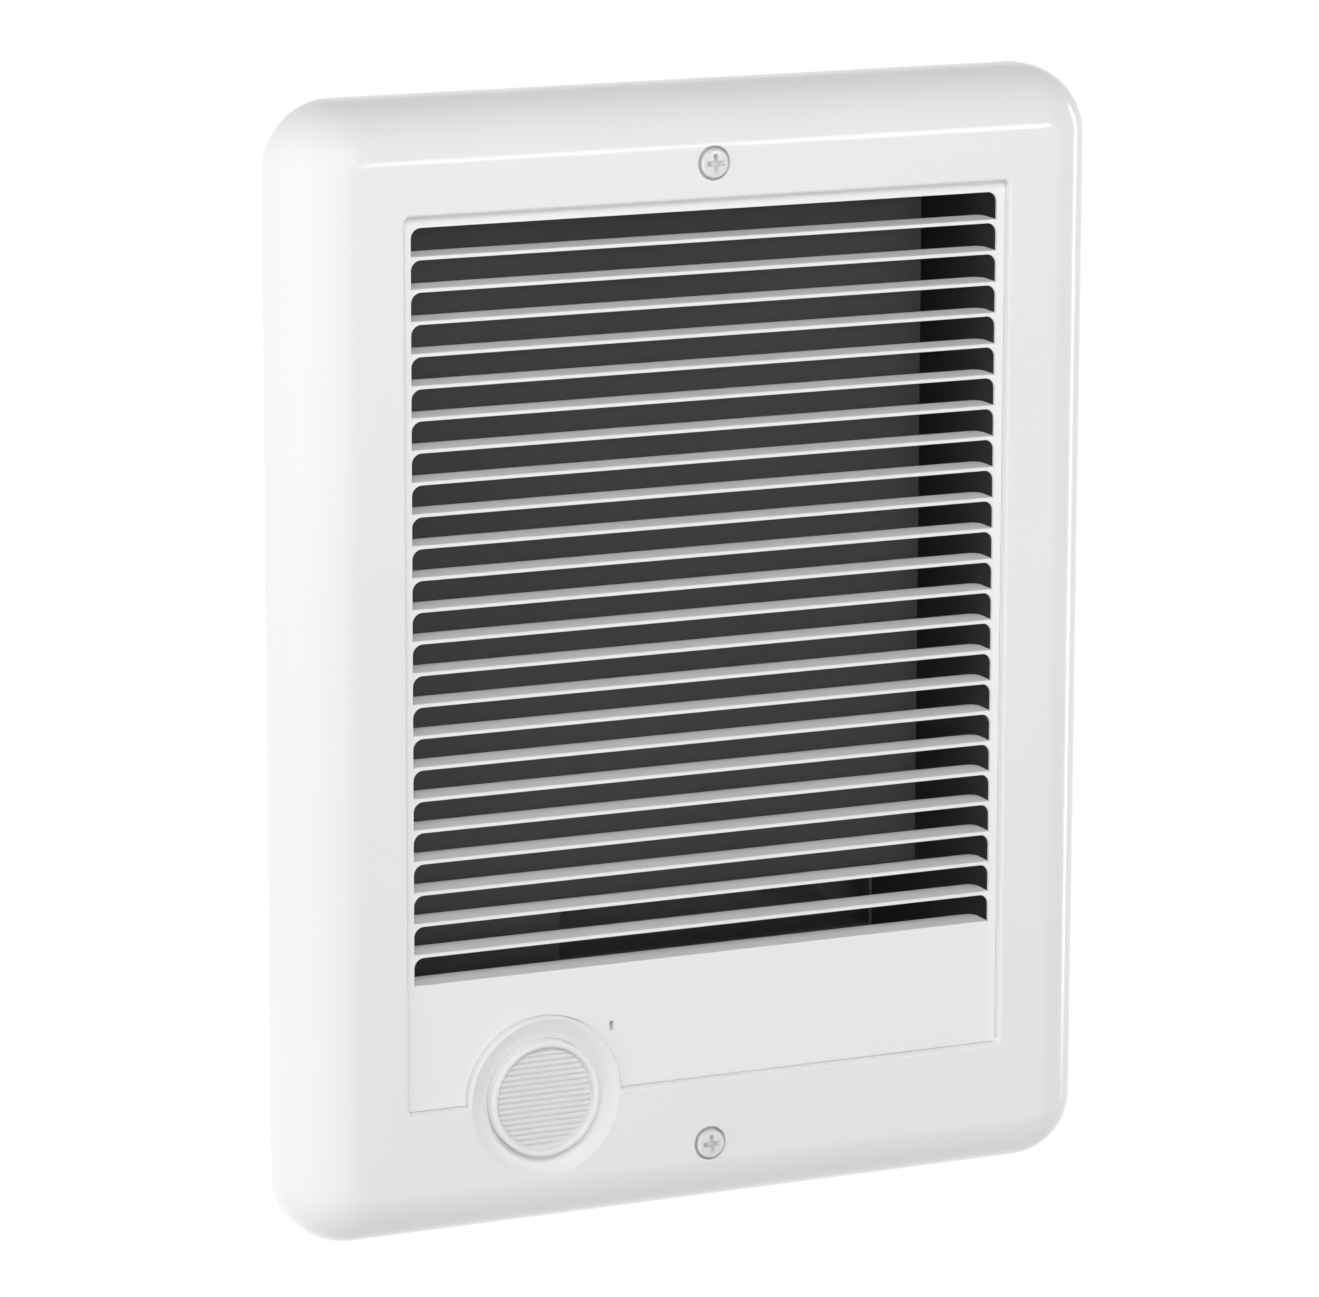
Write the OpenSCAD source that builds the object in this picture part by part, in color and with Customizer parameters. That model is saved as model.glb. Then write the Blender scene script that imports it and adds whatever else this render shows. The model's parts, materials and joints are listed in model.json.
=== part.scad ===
// In-wall fan convector heater: grille assembly, wall can, blower, element and controls.
// X runs right, Y runs back into the wall and Z runs up. The origin is the centre of the wall plane.

/* [Grille frame] */
// Width of the frame across the wall
frame_w = 236; // [232:1:244]
// Height of the frame
frame_h = 305; // [302:1:312]
// Depth from the wall to the flat front face
frame_d = 24; // [23:0.5:26]
// Wall thickness of the frame
frame_t = 2.5; // [2:0.1:3]
// Radius of the outline's corners
corner_r = 18.5; // [17:0.5:20]
// Width of the rounded rim, seen from the front
rim_w = 15; // [12:0.5:16]
// Depth of the rounded rim
rim_d = 20; // [16:0.5:21]

/* [Louvre panel] */
// Width of the recess that holds the panel
recess_w = 176; // [175:0.5:178]
// Top edge of the recess above the centre
recess_top = 123.5; // [123:0.5:124.5]
// Bottom edge of the recess below the centre
recess_bottom = 115; // [114:0.5:117]
// Depth from the front face to the panel
recess_d = 2.5; // [2:0.1:3]
// Thickness of the panel's sheet
panel_t = 0.8; // [0.6:0.1:1]
// Number of louvre slots
slot_count = 24; // [20:1:24]
// Width of a slot
slot_w = 171; // [168:0.5:171]
// Height of a slot
slot_h = 7.5; // [6.8:0.1:7.6]
// Distance from one slot to the next
slot_pitch = 8.42; // [8.3:0.01:8.45]

/* [Knob] */
// Sideways place of the knob's axis
knob_x = -48.5; // [-51:0.5:-46]
// Height of the knob's axis
knob_z = -115; // [-115.5:0.1:-113]
// Diameter of the knob
knob_dia = 31.8; // [30:0.2:32]
// Diameter of the round collar about the knob
collar_dia = 44.6; // [44:0.2:45.6]

/* [Wall can] */
// Width of the wall can
can_w = 210; // [210:1:214]
// Height of the wall can
can_h = 278; // [278:1:282]
// Depth of the wall can behind the wall plane
can_d = 95; // [95:1:102]
// Thickness of the can's sheet
can_t = 1; // [0.8:0.1:1]
// Diameter of a cable knockout
knockout_dia = 22.2; // [20:0.1:23]

/* [Blower] */
// Diameter of the blower wheel
wheel_dia = 62; // [56:1:62]
// Length of the blower wheel's blades
blade_len = 82; // [74:1:82]
// Number of blades on the wheel
blade_count = 28; // [20:1:32]
// Diameter of the motor shaft
shaft_dia = 6; // [5:0.5:6]

/* [Hidden] */
$fn = 64;

// Gap that keeps cuts clean
cut = 1;

// Levels inside the grille, measured forward from the wall plane
panel_front = frame_d - recess_d;
panel_back = panel_front - panel_t;
ledge_t = 2;
ledge_back = panel_back - ledge_t;
dish_floor = 19.3;
dish_back = 17;

// Window behind the louvres
window_w = 173.4;
window_top = 121.5;
window_bottom = -88;
collar_r = collar_dia / 2;

// Dished ring round the knob
well_r = knob_dia / 2 + 0.4;
well_top = 20.8;
lip_r = collar_r - 1;

// Slots
first_slot_top = 120.4;
flap_r = 2.8;
mark_pos = [-28.3, -97.8];
mark_size = [1.2, 2.8];
flap_depth = slot_h + 0.3;
return_depth = 6;
return_len = 30;
return_top_x = [-50, 50];
return_bottom_x = [0, 55];
clip_len = 12;
clip_leg = 4.5;
clip_t = 0.6;

// Grille screws
screw_z = 133;
screw_r = 2;
boss_r = 5.4;
screw_head_r = 3.9;
screw_head_h = 2;
seat_d = 0.7;
seat_gap = 0.75;
tab_w = 22;
tab_depth = 13;
nut_w = 9;
nut_t = 2.4;

// Wall can
can_inner_x = can_w / 2 - can_t;
can_inner_z = can_h / 2 - can_t;
can_inner_y = can_d - can_t;
stud_y = [22, 72];
stud_z = 100;
stud_r = 2.5;
knockout_r = knockout_dia / 2;
knockout_gap = 0.6;
open_knockout = [-60, 60];
ground_pos = [60, -110];

// Chassis deck
deck_y = 4;
deck_t = 1;
deck_left = -can_inner_x;
deck_right = 76;
deck_bottom = -68;
duct_top = -48;
wiring_cover_bottom = -88;
wing_x = can_inner_x - 2.5;
wing_back = 88;
wing_bottom = -125;
wing_bridge_bottom = 118;
deck_top = 126;
deck_flange = 14;
deck_screw_y = 12;
deck_side_z = [0, 100];
deck_ear_x = [-75, 55];
deck_ear_w = 20;
deck_screw_r = 1.9;

// Blower, in the plane of Y and Z, with the axis along X
axis_y = 44.5;
axis_z = 45;
blower_left = -33;
blower_right = 63;
sheet_t = 0.8;
wheel_r = wheel_dia / 2;
scroll_start_r = 34.5;
scroll_growth = 13;
scroll_start_a = 260;
scroll_step_a = 13;
scroll_bottom = 0;
scroll_back = axis_y + scroll_start_r + scroll_growth;
cutoff_y = axis_y + scroll_start_r * cos(scroll_start_a);
inlet_r = 26;
wheel_left = -27;
disc_t = 1;
ring_t = 0.8;
blade_left = wheel_left + disc_t;
blade_right = blade_left + blade_len;
hub_r = 8;
hub_len = 14;
shaft_r = shaft_dia / 2;
running_gap = 0.04;
hub_gap = 0.05;

// Motor
stator_left = -72;
stator_right = -52;
stator_half_w = 30;
stator_half_h = 26;
stator_leg = 12;
limb_bottom = axis_z + 52;
limb_top = axis_z + 66;
rotor_r = 16.8;
bore_r = 17.3;
bolt_offset = 24;
bolt_r = 1.9;
bolt_hole_r = 2.2;
bracket_t = 1.5;
bracket_gap = 6;
housing_r = 8;
bearing_r = 5;
shading_a = 32;
shading_r = 20;
shading_bar_r = 1.1;

// Heating element
element_bottom = -42;
element_front = 37.5;
element_back = 93;
coil_rows = [48, 65, 82];
coil_levels = [-12, -30];
coil_r = 4.5;
coil_wire = 0.6;
coil_left = -29;
coil_right = 59;
support_x = [-24, 15, 54];
support_t = 2;

// Thermal limit
limit_x = -88;
limit_z = -30;
button_r = 3.4;
button_travel = 1.5;

// Thermostat
thermo_plate_y = 2;
thermo_plate_t = 1.2;
bushing_r = 5;
bushing_front = -5;
spindle_r = 3;
spindle_front = -20;
spindle_flat = 2.3;

// Lead routes, from one terminal to the other
lead_r = 1.6;
line_route = [[-84, 52.7, -109.1], [-84, 47, -111.4], [-80, 42, -113], [-70, 42, -112], [-62, 38, -111],
  [-62, 30.3, -111]];
limit_route = [[-42, 30.3, -111], [-42, 38, -111], [-44, 44, -100], [-56, 44, -84], [-72, 38, -66],
  [-84, 32, -48], [-88, 26, -37], [-88, 20.3, -36]];
element_route = [[-88, 20.8, -24], [-88, 26, -24], [-80, 38, -20], [-66, 46, -14], [-52, 48, -12],
  [-42.3, 48, -12]];
return_route = [[-42.3, 48, -30], [-52, 48, -30], [-64, 52, -38], [-74, 60, -58], [-80, 68, -78],
  [-84, 74, -94], [-84, 73, -99.8]];
motor_route = [[-84, 77.4, -99.8], [-84, 78.4, -94], [-90, 82, -50], [-94, 82, 0], [-94, 82, 50],
  [-94, 74, 90], [-92, 62, 104], [-86, 56, 104], [-80.3, 56, 104]];
ground_route = [[-98, 52, -110], [-98, 44, -102], [-97, 34, -84], [-98, 24, -58], [-98, 16, -46],
  [-98, 5.4, -46]];

// ---------------------------------------------------------------- helpers

// Local x, y, z become X, Z and forward
module face_on() {
  rotate([90, 0, 0]) children();
}

// Local x, y, z become Y, Z and X
module side_on() {
  rotate([90, 0, 90]) children();
}

// A tube of the blower or motor: about the blower's axis, from x0 to x1
module about_axis(r, x0, x1, dy = 0, dz = 0) {
  side_on() translate([axis_y + dy, axis_z + dz, x0]) cylinder(r = r, h = x1 - x0);
}

// A cylinder that runs back along Y from y0 to y1
module along_y(x, z, r, y0, y1) {
  face_on() translate([x, z, -y1]) cylinder(r = r, h = y1 - y0);
}

module box(x, y, z) {
  translate([x[0], y[0], z[0]]) cube([x[1] - x[0], y[1] - y[0], z[1] - z[0]]);
}

// Rounded rectangle made of straight and round parts, so that it stays exact
module round_rect(w, h, r) {
  square([w - 2 * r, h], center = true);
  square([w, h - 2 * r], center = true);
  for (sx = [-1, 1], sy = [-1, 1]) {
    translate([sx * (w / 2 - r), sy * (h / 2 - r)]) circle(r = r);
  }
}

// A flat flap with a square root and two round far corners
module flap(w, h, r) {
  translate([-w / 2, 0]) square([w, h - r]);
  translate([-w / 2 + r, 0]) square([w - 2 * r, h]);
  for (s = [-1, 1]) translate([s * (w / 2 - r), h - r]) circle(r = r);
}

// Pan head screw along local z, head upwards from the origin
module pan_screw(shank_r, len, head_r, head_h) {
  translate([0, 0, -len]) cylinder(r = shank_r, h = len);
  difference() {
    cylinder(r1 = head_r, r2 = head_r * 0.72, h = head_h);
    for (a = [0, 90]) rotate(a) {
      translate([-head_r / 2, -head_r * 0.09, head_h * 0.4]) cube([head_r, head_r * 0.18, head_h]);
    }
  }
}

function add(a, b) = [for (i = [0 : 2]) a[i] + b[i]];
function unit(v) = v / norm(v);

// A point on the smooth curve through four route points
function smooth(p, q, r, s, t) =
  0.5 * (2 * q + (r - p) * t + (2 * p - 5 * q + 4 * r - s) * t * t + (3 * q - p - 3 * r + s) * t * t * t);

// Three points for every stretch of a route, and its last point
function route_points(pts) = let(n = len(pts)) [
  for (i = [0 : n - 2], t = [0, 1 / 3, 2 / 3])
    smooth(pts[max(i - 1, 0)], pts[i], pts[i + 1], pts[min(i + 2, n - 1)], t),
  pts[n - 1]
];

// A wire swept along a route as one closed tube
module wire(route, r, sides = 8) {
  pts = route_points(route);
  n = len(pts);
  up = [0.13, 0.29, 0.95];
  rings = [for (i = [0 : n - 1])
    let(t = unit(pts[min(i + 1, n - 1)] - pts[max(i - 1, 0)]), u = unit(cross(up, t)), v = cross(t, u))
      for (k = [0 : sides - 1]) pts[i] + r * (cos(360 * k / sides) * u + sin(360 * k / sides) * v)];
  walls = [for (i = [0 : n - 2], k = [0 : sides - 1])
    let(a = i * sides + k, b = i * sides + (k + 1) % sides)
      each [[a, a + sides, b + sides], [a, b + sides, b]]];
  start = [for (k = [0 : sides - 1]) k];
  end = [for (k = [sides - 1 : -1 : 0]) (n - 1) * sides + k];
  polyhedron(points = rings, faces = concat(walls, [start, end]), convexity = 6);
}

// ---------------------------------------------------------------- grille

// Outline of the rim from the wall (z 0) to the front (z d), as [inset, z]
function rim_curve(d, a, b) = let(steps = 9, last = 76) [
  for (i = [0 : steps])
    let(u = last * i / steps) [a * (1 - cos(u)) / (1 - cos(last)), d - b + b * sin(u) / sin(last)]
];

// A block with a rounded rim all round its front edge
module rim_block(w, h, d, r, a, b) {
  curve = rim_curve(d, a, b);
  left = [for (i = [len(curve) - 1 : -1 : 0]) curve[i]];
  module slab(width, length) {
    full = concat(
      [[-width / 2, 0], [width / 2, 0]],
      [for (p = curve) [width / 2 - p[0], p[1]]],
      [for (p = left) [-width / 2 + p[0], p[1]]]
    );
    translate([0, length / 2, 0]) rotate([90, 0, 0]) linear_extrude(length) polygon(full);
  }
  slab(w, h - 2 * r);
  rotate(90) slab(h, w - 2 * r);
  for (q = [0 : 3]) {
    sx = (q == 0 || q == 3) ? 1 : -1;
    sy = (q < 2) ? 1 : -1;
    translate([sx * (w / 2 - r), sy * (h / 2 - r), 0]) rotate(90 * q) rotate_extrude(angle = 90) {
      polygon(concat([[0, 0], [r, 0]], [for (p = curve) [r - p[0], p[1]]], [[0, d]]));
    }
  }
}

// The recess in plan: a rectangle without the round collar
module recess_plan(margin, collar_margin) {
  difference() {
    translate([-recess_w / 2 - margin, -recess_bottom - margin]) {
      square([recess_w + 2 * margin, recess_top + recess_bottom + 2 * margin]);
    }
    translate([knob_x, knob_z]) circle(r = collar_r + collar_margin);
  }
}

module grille_frame() {
  inner = frame_t;
  color("white") face_on() difference() {
    union() {
      difference() {
        rim_block(frame_w, frame_h, frame_d, corner_r, rim_w, rim_d);
        translate([0, 0, -cut]) rim_block(
          frame_w - 2 * inner, frame_h - 2 * inner, frame_d - inner + cut,
          corner_r - inner, rim_w - 1.2, rim_d - 1.2
        );
      }
      translate([0, (recess_top - recess_bottom) / 2, ledge_back]) linear_extrude(frame_d - 1 - ledge_back) {
        square([recess_w + 4, recess_top + recess_bottom + 4], center = true);
      }
      translate([knob_x, knob_z, dish_back]) cylinder(r = collar_r, h = frame_d - dish_back - 0.4);
      for (s = [-1, 1]) translate([0, s * screw_z, 0]) cylinder(r = boss_r, h = frame_d - 1);
    }
    translate([0, 0, panel_back]) linear_extrude(frame_d) recess_plan(0, 0);
    translate([-window_w / 2, window_bottom, 0]) cube([window_w, window_top - window_bottom, frame_d]);
    translate([knob_x, knob_z, 0]) rotate_extrude() {
      polygon([[0, dish_floor], [well_r, dish_floor], [well_r, well_top], [well_r + 1.6, well_top + 0.6],
        [lip_r - 1.4, frame_d - 0.7], [lip_r, frame_d], [lip_r, frame_d + cut], [0, frame_d + cut]]);
    }
    translate([knob_x, knob_z, 0]) cylinder(r = 7, h = frame_d);
    for (s = [-1, 1]) {
      translate([0, s * screw_z, -cut]) cylinder(r = screw_r + 0.4, h = frame_d + 2 * cut);
      translate([0, s * screw_z, frame_d - seat_d]) cylinder(r = screw_head_r + seat_gap, h = frame_d);
    }
  }
}

module louvre_panel() {
  color("whitesmoke") {
    difference() {
      face_on() translate([0, 0, panel_back]) linear_extrude(panel_t) difference() {
        recess_plan(-0.4, 0.4);
        translate(mark_pos) square(mark_size, center = true);
        for (i = [0 : slot_count - 1]) {
          translate([0, first_slot_top - slot_h - i * slot_pitch]) flap(slot_w, slot_h, flap_r);
        }
      }
    }
    for (i = [0 : slot_count - 1]) {
      z = first_slot_top - slot_h - i * slot_pitch;
      translate([0, -panel_back - panel_t, z - panel_t]) {
        linear_extrude(panel_t) flap(slot_w, flap_depth + panel_t, flap_r);
      }
    }
    for (place = return_places()) {
      z = place[1] - place[2] * 0.6;
      box([place[0] - return_len / 2, place[0] + return_len / 2],
        [-panel_back - 0.01, -panel_back + return_depth], [z - 0.4, z + 0.4]);
    }
  }
}

// Return flanges behind the panel's edges: middle in X, window edge in Z and the way out of the window
function return_places() = concat([for (x = return_top_x) [x, window_top, 1]],
  [for (x = return_bottom_x) [x, window_bottom, -1]]);

// Spring strips that grip the panel's return flanges behind the ledge
module panel_clips() {
  color("silver") for (place = return_places()) translate([place[0], -ledge_back, place[1]]) {
    scale([1, 1, place[2]]) translate([-clip_len / 2, 0, -0.2]) {
      cube([clip_len, clip_leg, clip_t]);
      cube([clip_len, clip_t, clip_leg]);
    }
  }
}

module grille_screws() {
  color("gainsboro") for (s = [-1, 1]) {
    translate([0, seat_d - frame_d, s * screw_z]) face_on() {
      pan_screw(screw_r, frame_d - seat_d + 8, screw_head_r, screw_head_h);
    }
  }
}

module clip_nuts() {
  color("silver") for (s = [-1, 1]) difference() {
    box([-nut_w / 2, nut_w / 2], [can_t, can_t + nut_t], [s * screw_z - nut_w / 2, s * screw_z + nut_w / 2]);
    along_y(0, s * screw_z, screw_r + hub_gap, 0, 2 * nut_t);
  }
}

// ---------------------------------------------------------------- knob and thermostat

module knob() {
  ribs = 17;
  knob_r = knob_dia / 2;
  disc_r = knob_r - 1.9;
  skirt = 19.8;
  face = 22.4;
  crest = 24.4;
  rib_pitch = 2 * disc_r / (ribs + 1);
  color("white") {
    face_on() translate([knob_x, knob_z, 0]) difference() {
      rotate_extrude() {
        polygon([[0, 9], [6, 9], [6, skirt], [knob_r, skirt], [knob_r, crest - 1.1],
          [knob_r - 0.3, crest - 0.3], [knob_r - 0.9, crest], [knob_r - 1.5, crest - 0.3],
          [disc_r, face], [0, face]]);
      }
      translate([0, 0, 9 - cut]) difference() {
        cylinder(r = spindle_r + 0.1, h = 11.4 + cut);
        translate([spindle_flat + 0.7, -5, 2]) cube([5, 10, 20]);
      }
    }
    face_on() translate([knob_x, knob_z, face]) for (i = [1 : ribs]) {
      y = -disc_r + i * rib_pitch;
      half = sqrt(disc_r * disc_r - y * y) - 0.4;
      translate([-half, y - 0.35, 0]) cube([2 * half, 0.7, 0.5]);
    }
  }
}

// Flat spring between the knob's bore and the spindle's flat
module knob_clip() {
  color("silver") translate([knob_x, 0, knob_z]) {
    box([spindle_flat + 0.1, spindle_flat + 0.5], [-19, -12], [-1.2, 1.2]);
  }
}

module thermostat_spindle() {
  color("goldenrod") difference() {
    along_y(knob_x, knob_z, spindle_r, spindle_front, 8);
    box([knob_x + spindle_flat, knob_x + 5], [spindle_front - cut, -10], [knob_z - 5, knob_z + 5]);
  }
}

module thermostat_body() {
  color("saddlebrown") difference() {
    union() {
      box([-70, -33], [thermo_plate_y + thermo_plate_t, 22], [-128, -98]);
      along_y(knob_x, knob_z, bushing_r, bushing_front, 10);
    }
    along_y(knob_x, knob_z, spindle_r + hub_gap, bushing_front - cut, 8.4);
  }
}

module thermostat_bracket() {
  y1 = thermo_plate_y + thermo_plate_t;
  foot = -can_inner_z;
  color("silver") difference() {
    union() {
      box([-73, -30], [thermo_plate_y, y1], [foot, -92]);
      box([-73, -30], [y1 - 0.01, 24], [foot, foot + thermo_plate_t]);
    }
    along_y(knob_x, knob_z, bushing_r + 0.1, 0, 10);
  }
}

module thermostat_nut() {
  color("silver") face_on() translate([knob_x, knob_z, -thermo_plate_y]) difference() {
    cylinder(r = 8, h = 2.5, $fn = 6);
    translate([0, 0, -cut]) cylinder(r = bushing_r + 0.05, h = 5);
  }
}

module thermostat_terminals() {
  color("goldenrod") for (x = [-62, -42]) box([x - 3.15, x + 3.15], [22, 30], [-111.4, -110.6]);
}

// ---------------------------------------------------------------- wall can

// Ring cut of a knockout with two bridges that hold its disc
module knockout_cut() {
  difference() {
    cylinder(r = knockout_r, h = 4, center = true);
    cylinder(r = knockout_r - knockout_gap, h = 5, center = true);
    cube([3, 3 * knockout_r, 6], center = true);
  }
}

module wall_can() {
  half_w = can_w / 2;
  half_h = can_h / 2;
  color("lightsteelblue") difference() {
    union() {
      difference() {
        box([-half_w, half_w], [0, can_d], [-half_h, half_h]);
        box([-can_inner_x, can_inner_x], [-cut, can_inner_y], [-can_inner_z, can_inner_z]);
      }
      for (s = [-1, 1]) {
        translate([-tab_w / 2, 0, s > 0 ? can_inner_z - tab_depth : -can_inner_z - 0.01]) {
          cube([tab_w, can_t, tab_depth + 0.01]);
        }
      }
    }
    for (s = [-1, 1]) along_y(0, s * screw_z, screw_r + 0.3, -cut, 3);
    for (y = stud_y, z = [-stud_z, stud_z]) {
      translate([0, y, z]) rotate([0, 90, 0]) cylinder(r = stud_r, h = can_w + 4, center = true);
    }
    translate([open_knockout[0], open_knockout[1], -half_h]) cylinder(r = knockout_r, h = 4, center = true);
    translate([-20, open_knockout[1], -half_h]) knockout_cut();
    translate([-60, open_knockout[1], half_h]) knockout_cut();
    translate([-half_w, 44, -66]) rotate([0, 90, 0]) knockout_cut();
    translate([-60, can_d, -112]) rotate([90, 0, 0]) knockout_cut();
    translate([-half_w, ground_pos[0], ground_pos[1]]) rotate([0, 90, 0]) {
      cylinder(r = screw_r + 0.1, h = 4, center = true);
    }
    for (z = deck_side_z) translate([-half_w, deck_screw_y, z]) rotate([0, 90, 0]) {
      cylinder(r = deck_screw_r + 0.1, h = 4, center = true);
    }
    for (x = deck_ear_x) translate([x, deck_screw_y, half_h]) cylinder(r = deck_screw_r + 0.1, h = 4, center = true);
  }
}

module ground_screw() {
  color("seagreen") translate([-can_inner_x, ground_pos[0], ground_pos[1]]) rotate([0, 90, 0]) {
    translate([0, 0, -4]) cylinder(r = screw_r, h = 4);
    cylinder(r = 5.5, h = 0.8);
    translate([0, 0, 0.8]) cylinder(r = 4, h = 3, $fn = 6);
  }
}

// ---------------------------------------------------------------- chassis

module chassis_deck() {
  back = deck_y + deck_t;
  color("dimgray") difference() {
    union() {
      box([deck_left, deck_right], [deck_y, back], [deck_bottom, deck_top]);
      box([deck_left, deck_left + deck_t], [deck_y, deck_y + deck_flange], [deck_bottom + 6, deck_top - 6]);
      box([deck_right - deck_t, deck_right], [deck_y, deck_y + 9], [deck_bottom, deck_top]);
      box([blower_left, blower_right], [deck_y, element_front - 1], [duct_top, duct_top + deck_t]);
      box([deck_left, blower_left + 1], [deck_y, back], [wiring_cover_bottom, deck_bottom + 1]);
      box([deck_right - 1, wing_x + deck_t], [deck_y, back], [wing_bridge_bottom, deck_top]);
      box([wing_x, wing_x + deck_t], [deck_y, wing_back], [wing_bottom, deck_top]);
      for (x = deck_ear_x) {
        box([x - deck_ear_w / 2, x + deck_ear_w / 2], [deck_y, back], [deck_top - 1, can_inner_z]);
        box([x - deck_ear_w / 2, x + deck_ear_w / 2], [deck_y, deck_y + deck_flange],
          [can_inner_z - deck_t, can_inner_z]);
      }
    }
    along_y(limit_x, limit_z, button_r + 0.6, 0, 10);
    for (s = [-1, 1]) along_y(limit_x, limit_z + 13 * s, 1.6, 0, 10);
    for (z = deck_side_z) translate([deck_left, deck_screw_y, z]) rotate([0, 90, 0]) {
      cylinder(r = deck_screw_r + 0.1, h = 4, center = true);
    }
    for (x = deck_ear_x) translate([x, deck_screw_y, can_inner_z]) {
      cylinder(r = deck_screw_r + 0.1, h = 4, center = true);
    }
  }
}

module deck_screws() {
  color("silver") {
    for (z = deck_side_z) translate([deck_left + deck_t, deck_screw_y, z]) rotate([0, 90, 0]) {
      pan_screw(deck_screw_r, 5, 3.6, 2.2);
    }
    for (x = deck_ear_x) translate([x, deck_screw_y, can_inner_z - deck_t]) rotate([180, 0, 0]) {
      pan_screw(deck_screw_r, 5, 3.6, 2.2);
    }
  }
}

// ---------------------------------------------------------------- blower housing

// Inner face of the scroll from the cut-off round to the back, offset outwards by t
function scroll_curve(t) = [
  for (a = [scroll_start_a : -scroll_step_a : 0])
    let(r = scroll_start_r + scroll_growth * (scroll_start_a - a) / scroll_start_a + t)
      [axis_y + r * cos(a), axis_z + r * sin(a)]
];
function reversed(list) = [for (i = [len(list) - 1 : -1 : 0]) list[i]];

module scroll_wrapper() {
  inside = concat([[cutoff_y, scroll_bottom]], scroll_curve(0), [[scroll_back, scroll_bottom]]);
  outside = concat([[cutoff_y - sheet_t, scroll_bottom]], scroll_curve(sheet_t),
    [[scroll_back + sheet_t, scroll_bottom]]);
  color("lightgray") side_on() translate([0, 0, blower_left]) linear_extrude(blower_right - blower_left) {
    polygon(concat(inside, reversed(outside)));
  }
}

module scroll_side() {
  polygon(concat([[cutoff_y - sheet_t, scroll_bottom]], scroll_curve(sheet_t),
    [[scroll_back + sheet_t, scroll_bottom]]));
}

module scroll_end_motor() {
  color("lightgray") side_on() translate([0, 0, blower_left - sheet_t]) linear_extrude(sheet_t) difference() {
    scroll_side();
    translate([axis_y, axis_z]) circle(r = 6);
    for (s = [-1, 1]) translate([axis_y + s * bolt_offset, axis_z]) circle(r = bolt_hole_r);
  }
}

module scroll_end_inlet() {
  lip = 3;
  color("lightgray") side_on() {
    translate([0, 0, blower_right]) linear_extrude(sheet_t) difference() {
      scroll_side();
      translate([axis_y, axis_z]) circle(r = inlet_r + lip);
    }
    translate([axis_y, axis_z, blower_right]) rotate_extrude() {
      bell = [for (a = [0 : 15 : 90]) [inlet_r + lip - lip * sin(a), -lip + lip * cos(a)]];
      shell = [for (a = [90 : -15 : 0])
        [inlet_r + lip - (lip - sheet_t) * sin(a), -lip + (lip - sheet_t) * cos(a)]];
      translate([0, sheet_t]) polygon(concat(bell, shell));
    }
  }
}

module air_deflector() {
  y0 = 6;
  z0 = -45;
  function curve(t) = [for (a = [0 : 10 : 90]) [y0 + (86 - t) * cos(a), z0 - (41 - t) * sin(a)]];
  color("lightgray") side_on() {
    translate([0, 0, blower_left]) linear_extrude(blower_right - blower_left) {
      polygon(concat(curve(0), reversed(curve(sheet_t))));
    }
    for (x = [blower_left - sheet_t, blower_right]) translate([0, 0, x]) linear_extrude(sheet_t) {
      polygon(concat([[y0, z0 + 1]], [[y0 + 86, z0 + 1]], curve(0)));
    }
  }
}

// ---------------------------------------------------------------- motor

module stator_outline() {
  difference() {
    translate([-stator_half_w, -stator_half_h]) {
      square([2 * stator_half_w, stator_half_h + limb_top - axis_z]);
    }
    circle(r = bore_r);
    translate([-stator_half_w + stator_leg, stator_half_h]) {
      square([2 * (stator_half_w - stator_leg), limb_bottom - axis_z - stator_half_h]);
    }
    for (s = [-1, 1]) translate([s * bolt_offset, 0]) circle(r = bolt_hole_r);
    for (a = shading_angles()) rotate(a) {
      translate([bore_r - 1, -1.3]) square([shading_r + 1.4 - bore_r + 1, 2.6]);
    }
  }
}

// Slots for the shading rings: a pair beside each pole
function shading_angles() = [90 - shading_a, 90 + shading_a, 270 - shading_a, 270 + shading_a];

module stator_core() {
  color("slategray") side_on() translate([axis_y, axis_z, stator_left]) {
    linear_extrude(stator_right - stator_left) stator_outline();
  }
}

module shading_rings() {
  color("peru") side_on() translate([axis_y, axis_z, stator_left]) {
    len = stator_right - stator_left;
    for (side = [90, 270]) {
      for (a = [side - shading_a, side + shading_a]) rotate(a) {
        translate([shading_r, 0, -1.8]) cylinder(r = shading_bar_r, h = len + 3.6);
      }
      rise = shading_r * cos(shading_a);
      run = shading_r * sin(shading_a);
      for (z = [-2.6, len + 0.8]) {
        y = side == 90 ? rise : -rise;
        translate([-run - 1.6, y - 1.6, z]) cube([2 * run + 3.2, 3.2, 1.8]);
      }
    }
  }
}

module coil_bobbin() {
  limb = [stator_right - stator_left, limb_top - limb_bottom];
  color("ivory") rotate([-90, 0, 0]) translate([(stator_left + stator_right) / 2,
    -(limb_bottom + limb_top) / 2, axis_y]) difference() {
    union() {
      cube([limb[0] + 2.4, limb[1] + 2.4, 34], center = true);
      for (s = [-1, 1]) translate([0, 0, s * 16.4]) cube([limb[0] + 20, limb[1] + 20, 1.2], center = true);
    }
    cube([limb[0] + 0.4, limb[1] + 0.4, 40], center = true);
  }
}

module coil_winding() {
  limb = [stator_right - stator_left, limb_top - limb_bottom];
  color("peru") rotate([-90, 0, 0]) translate([(stator_left + stator_right) / 2,
    -(limb_bottom + limb_top) / 2, axis_y - 15.6]) linear_extrude(31.2) difference() {
    round_rect(limb[0] + 16, limb[1] + 16, 5);
    square([limb[0] + 2.6, limb[1] + 2.6], center = true);
  }
}

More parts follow.
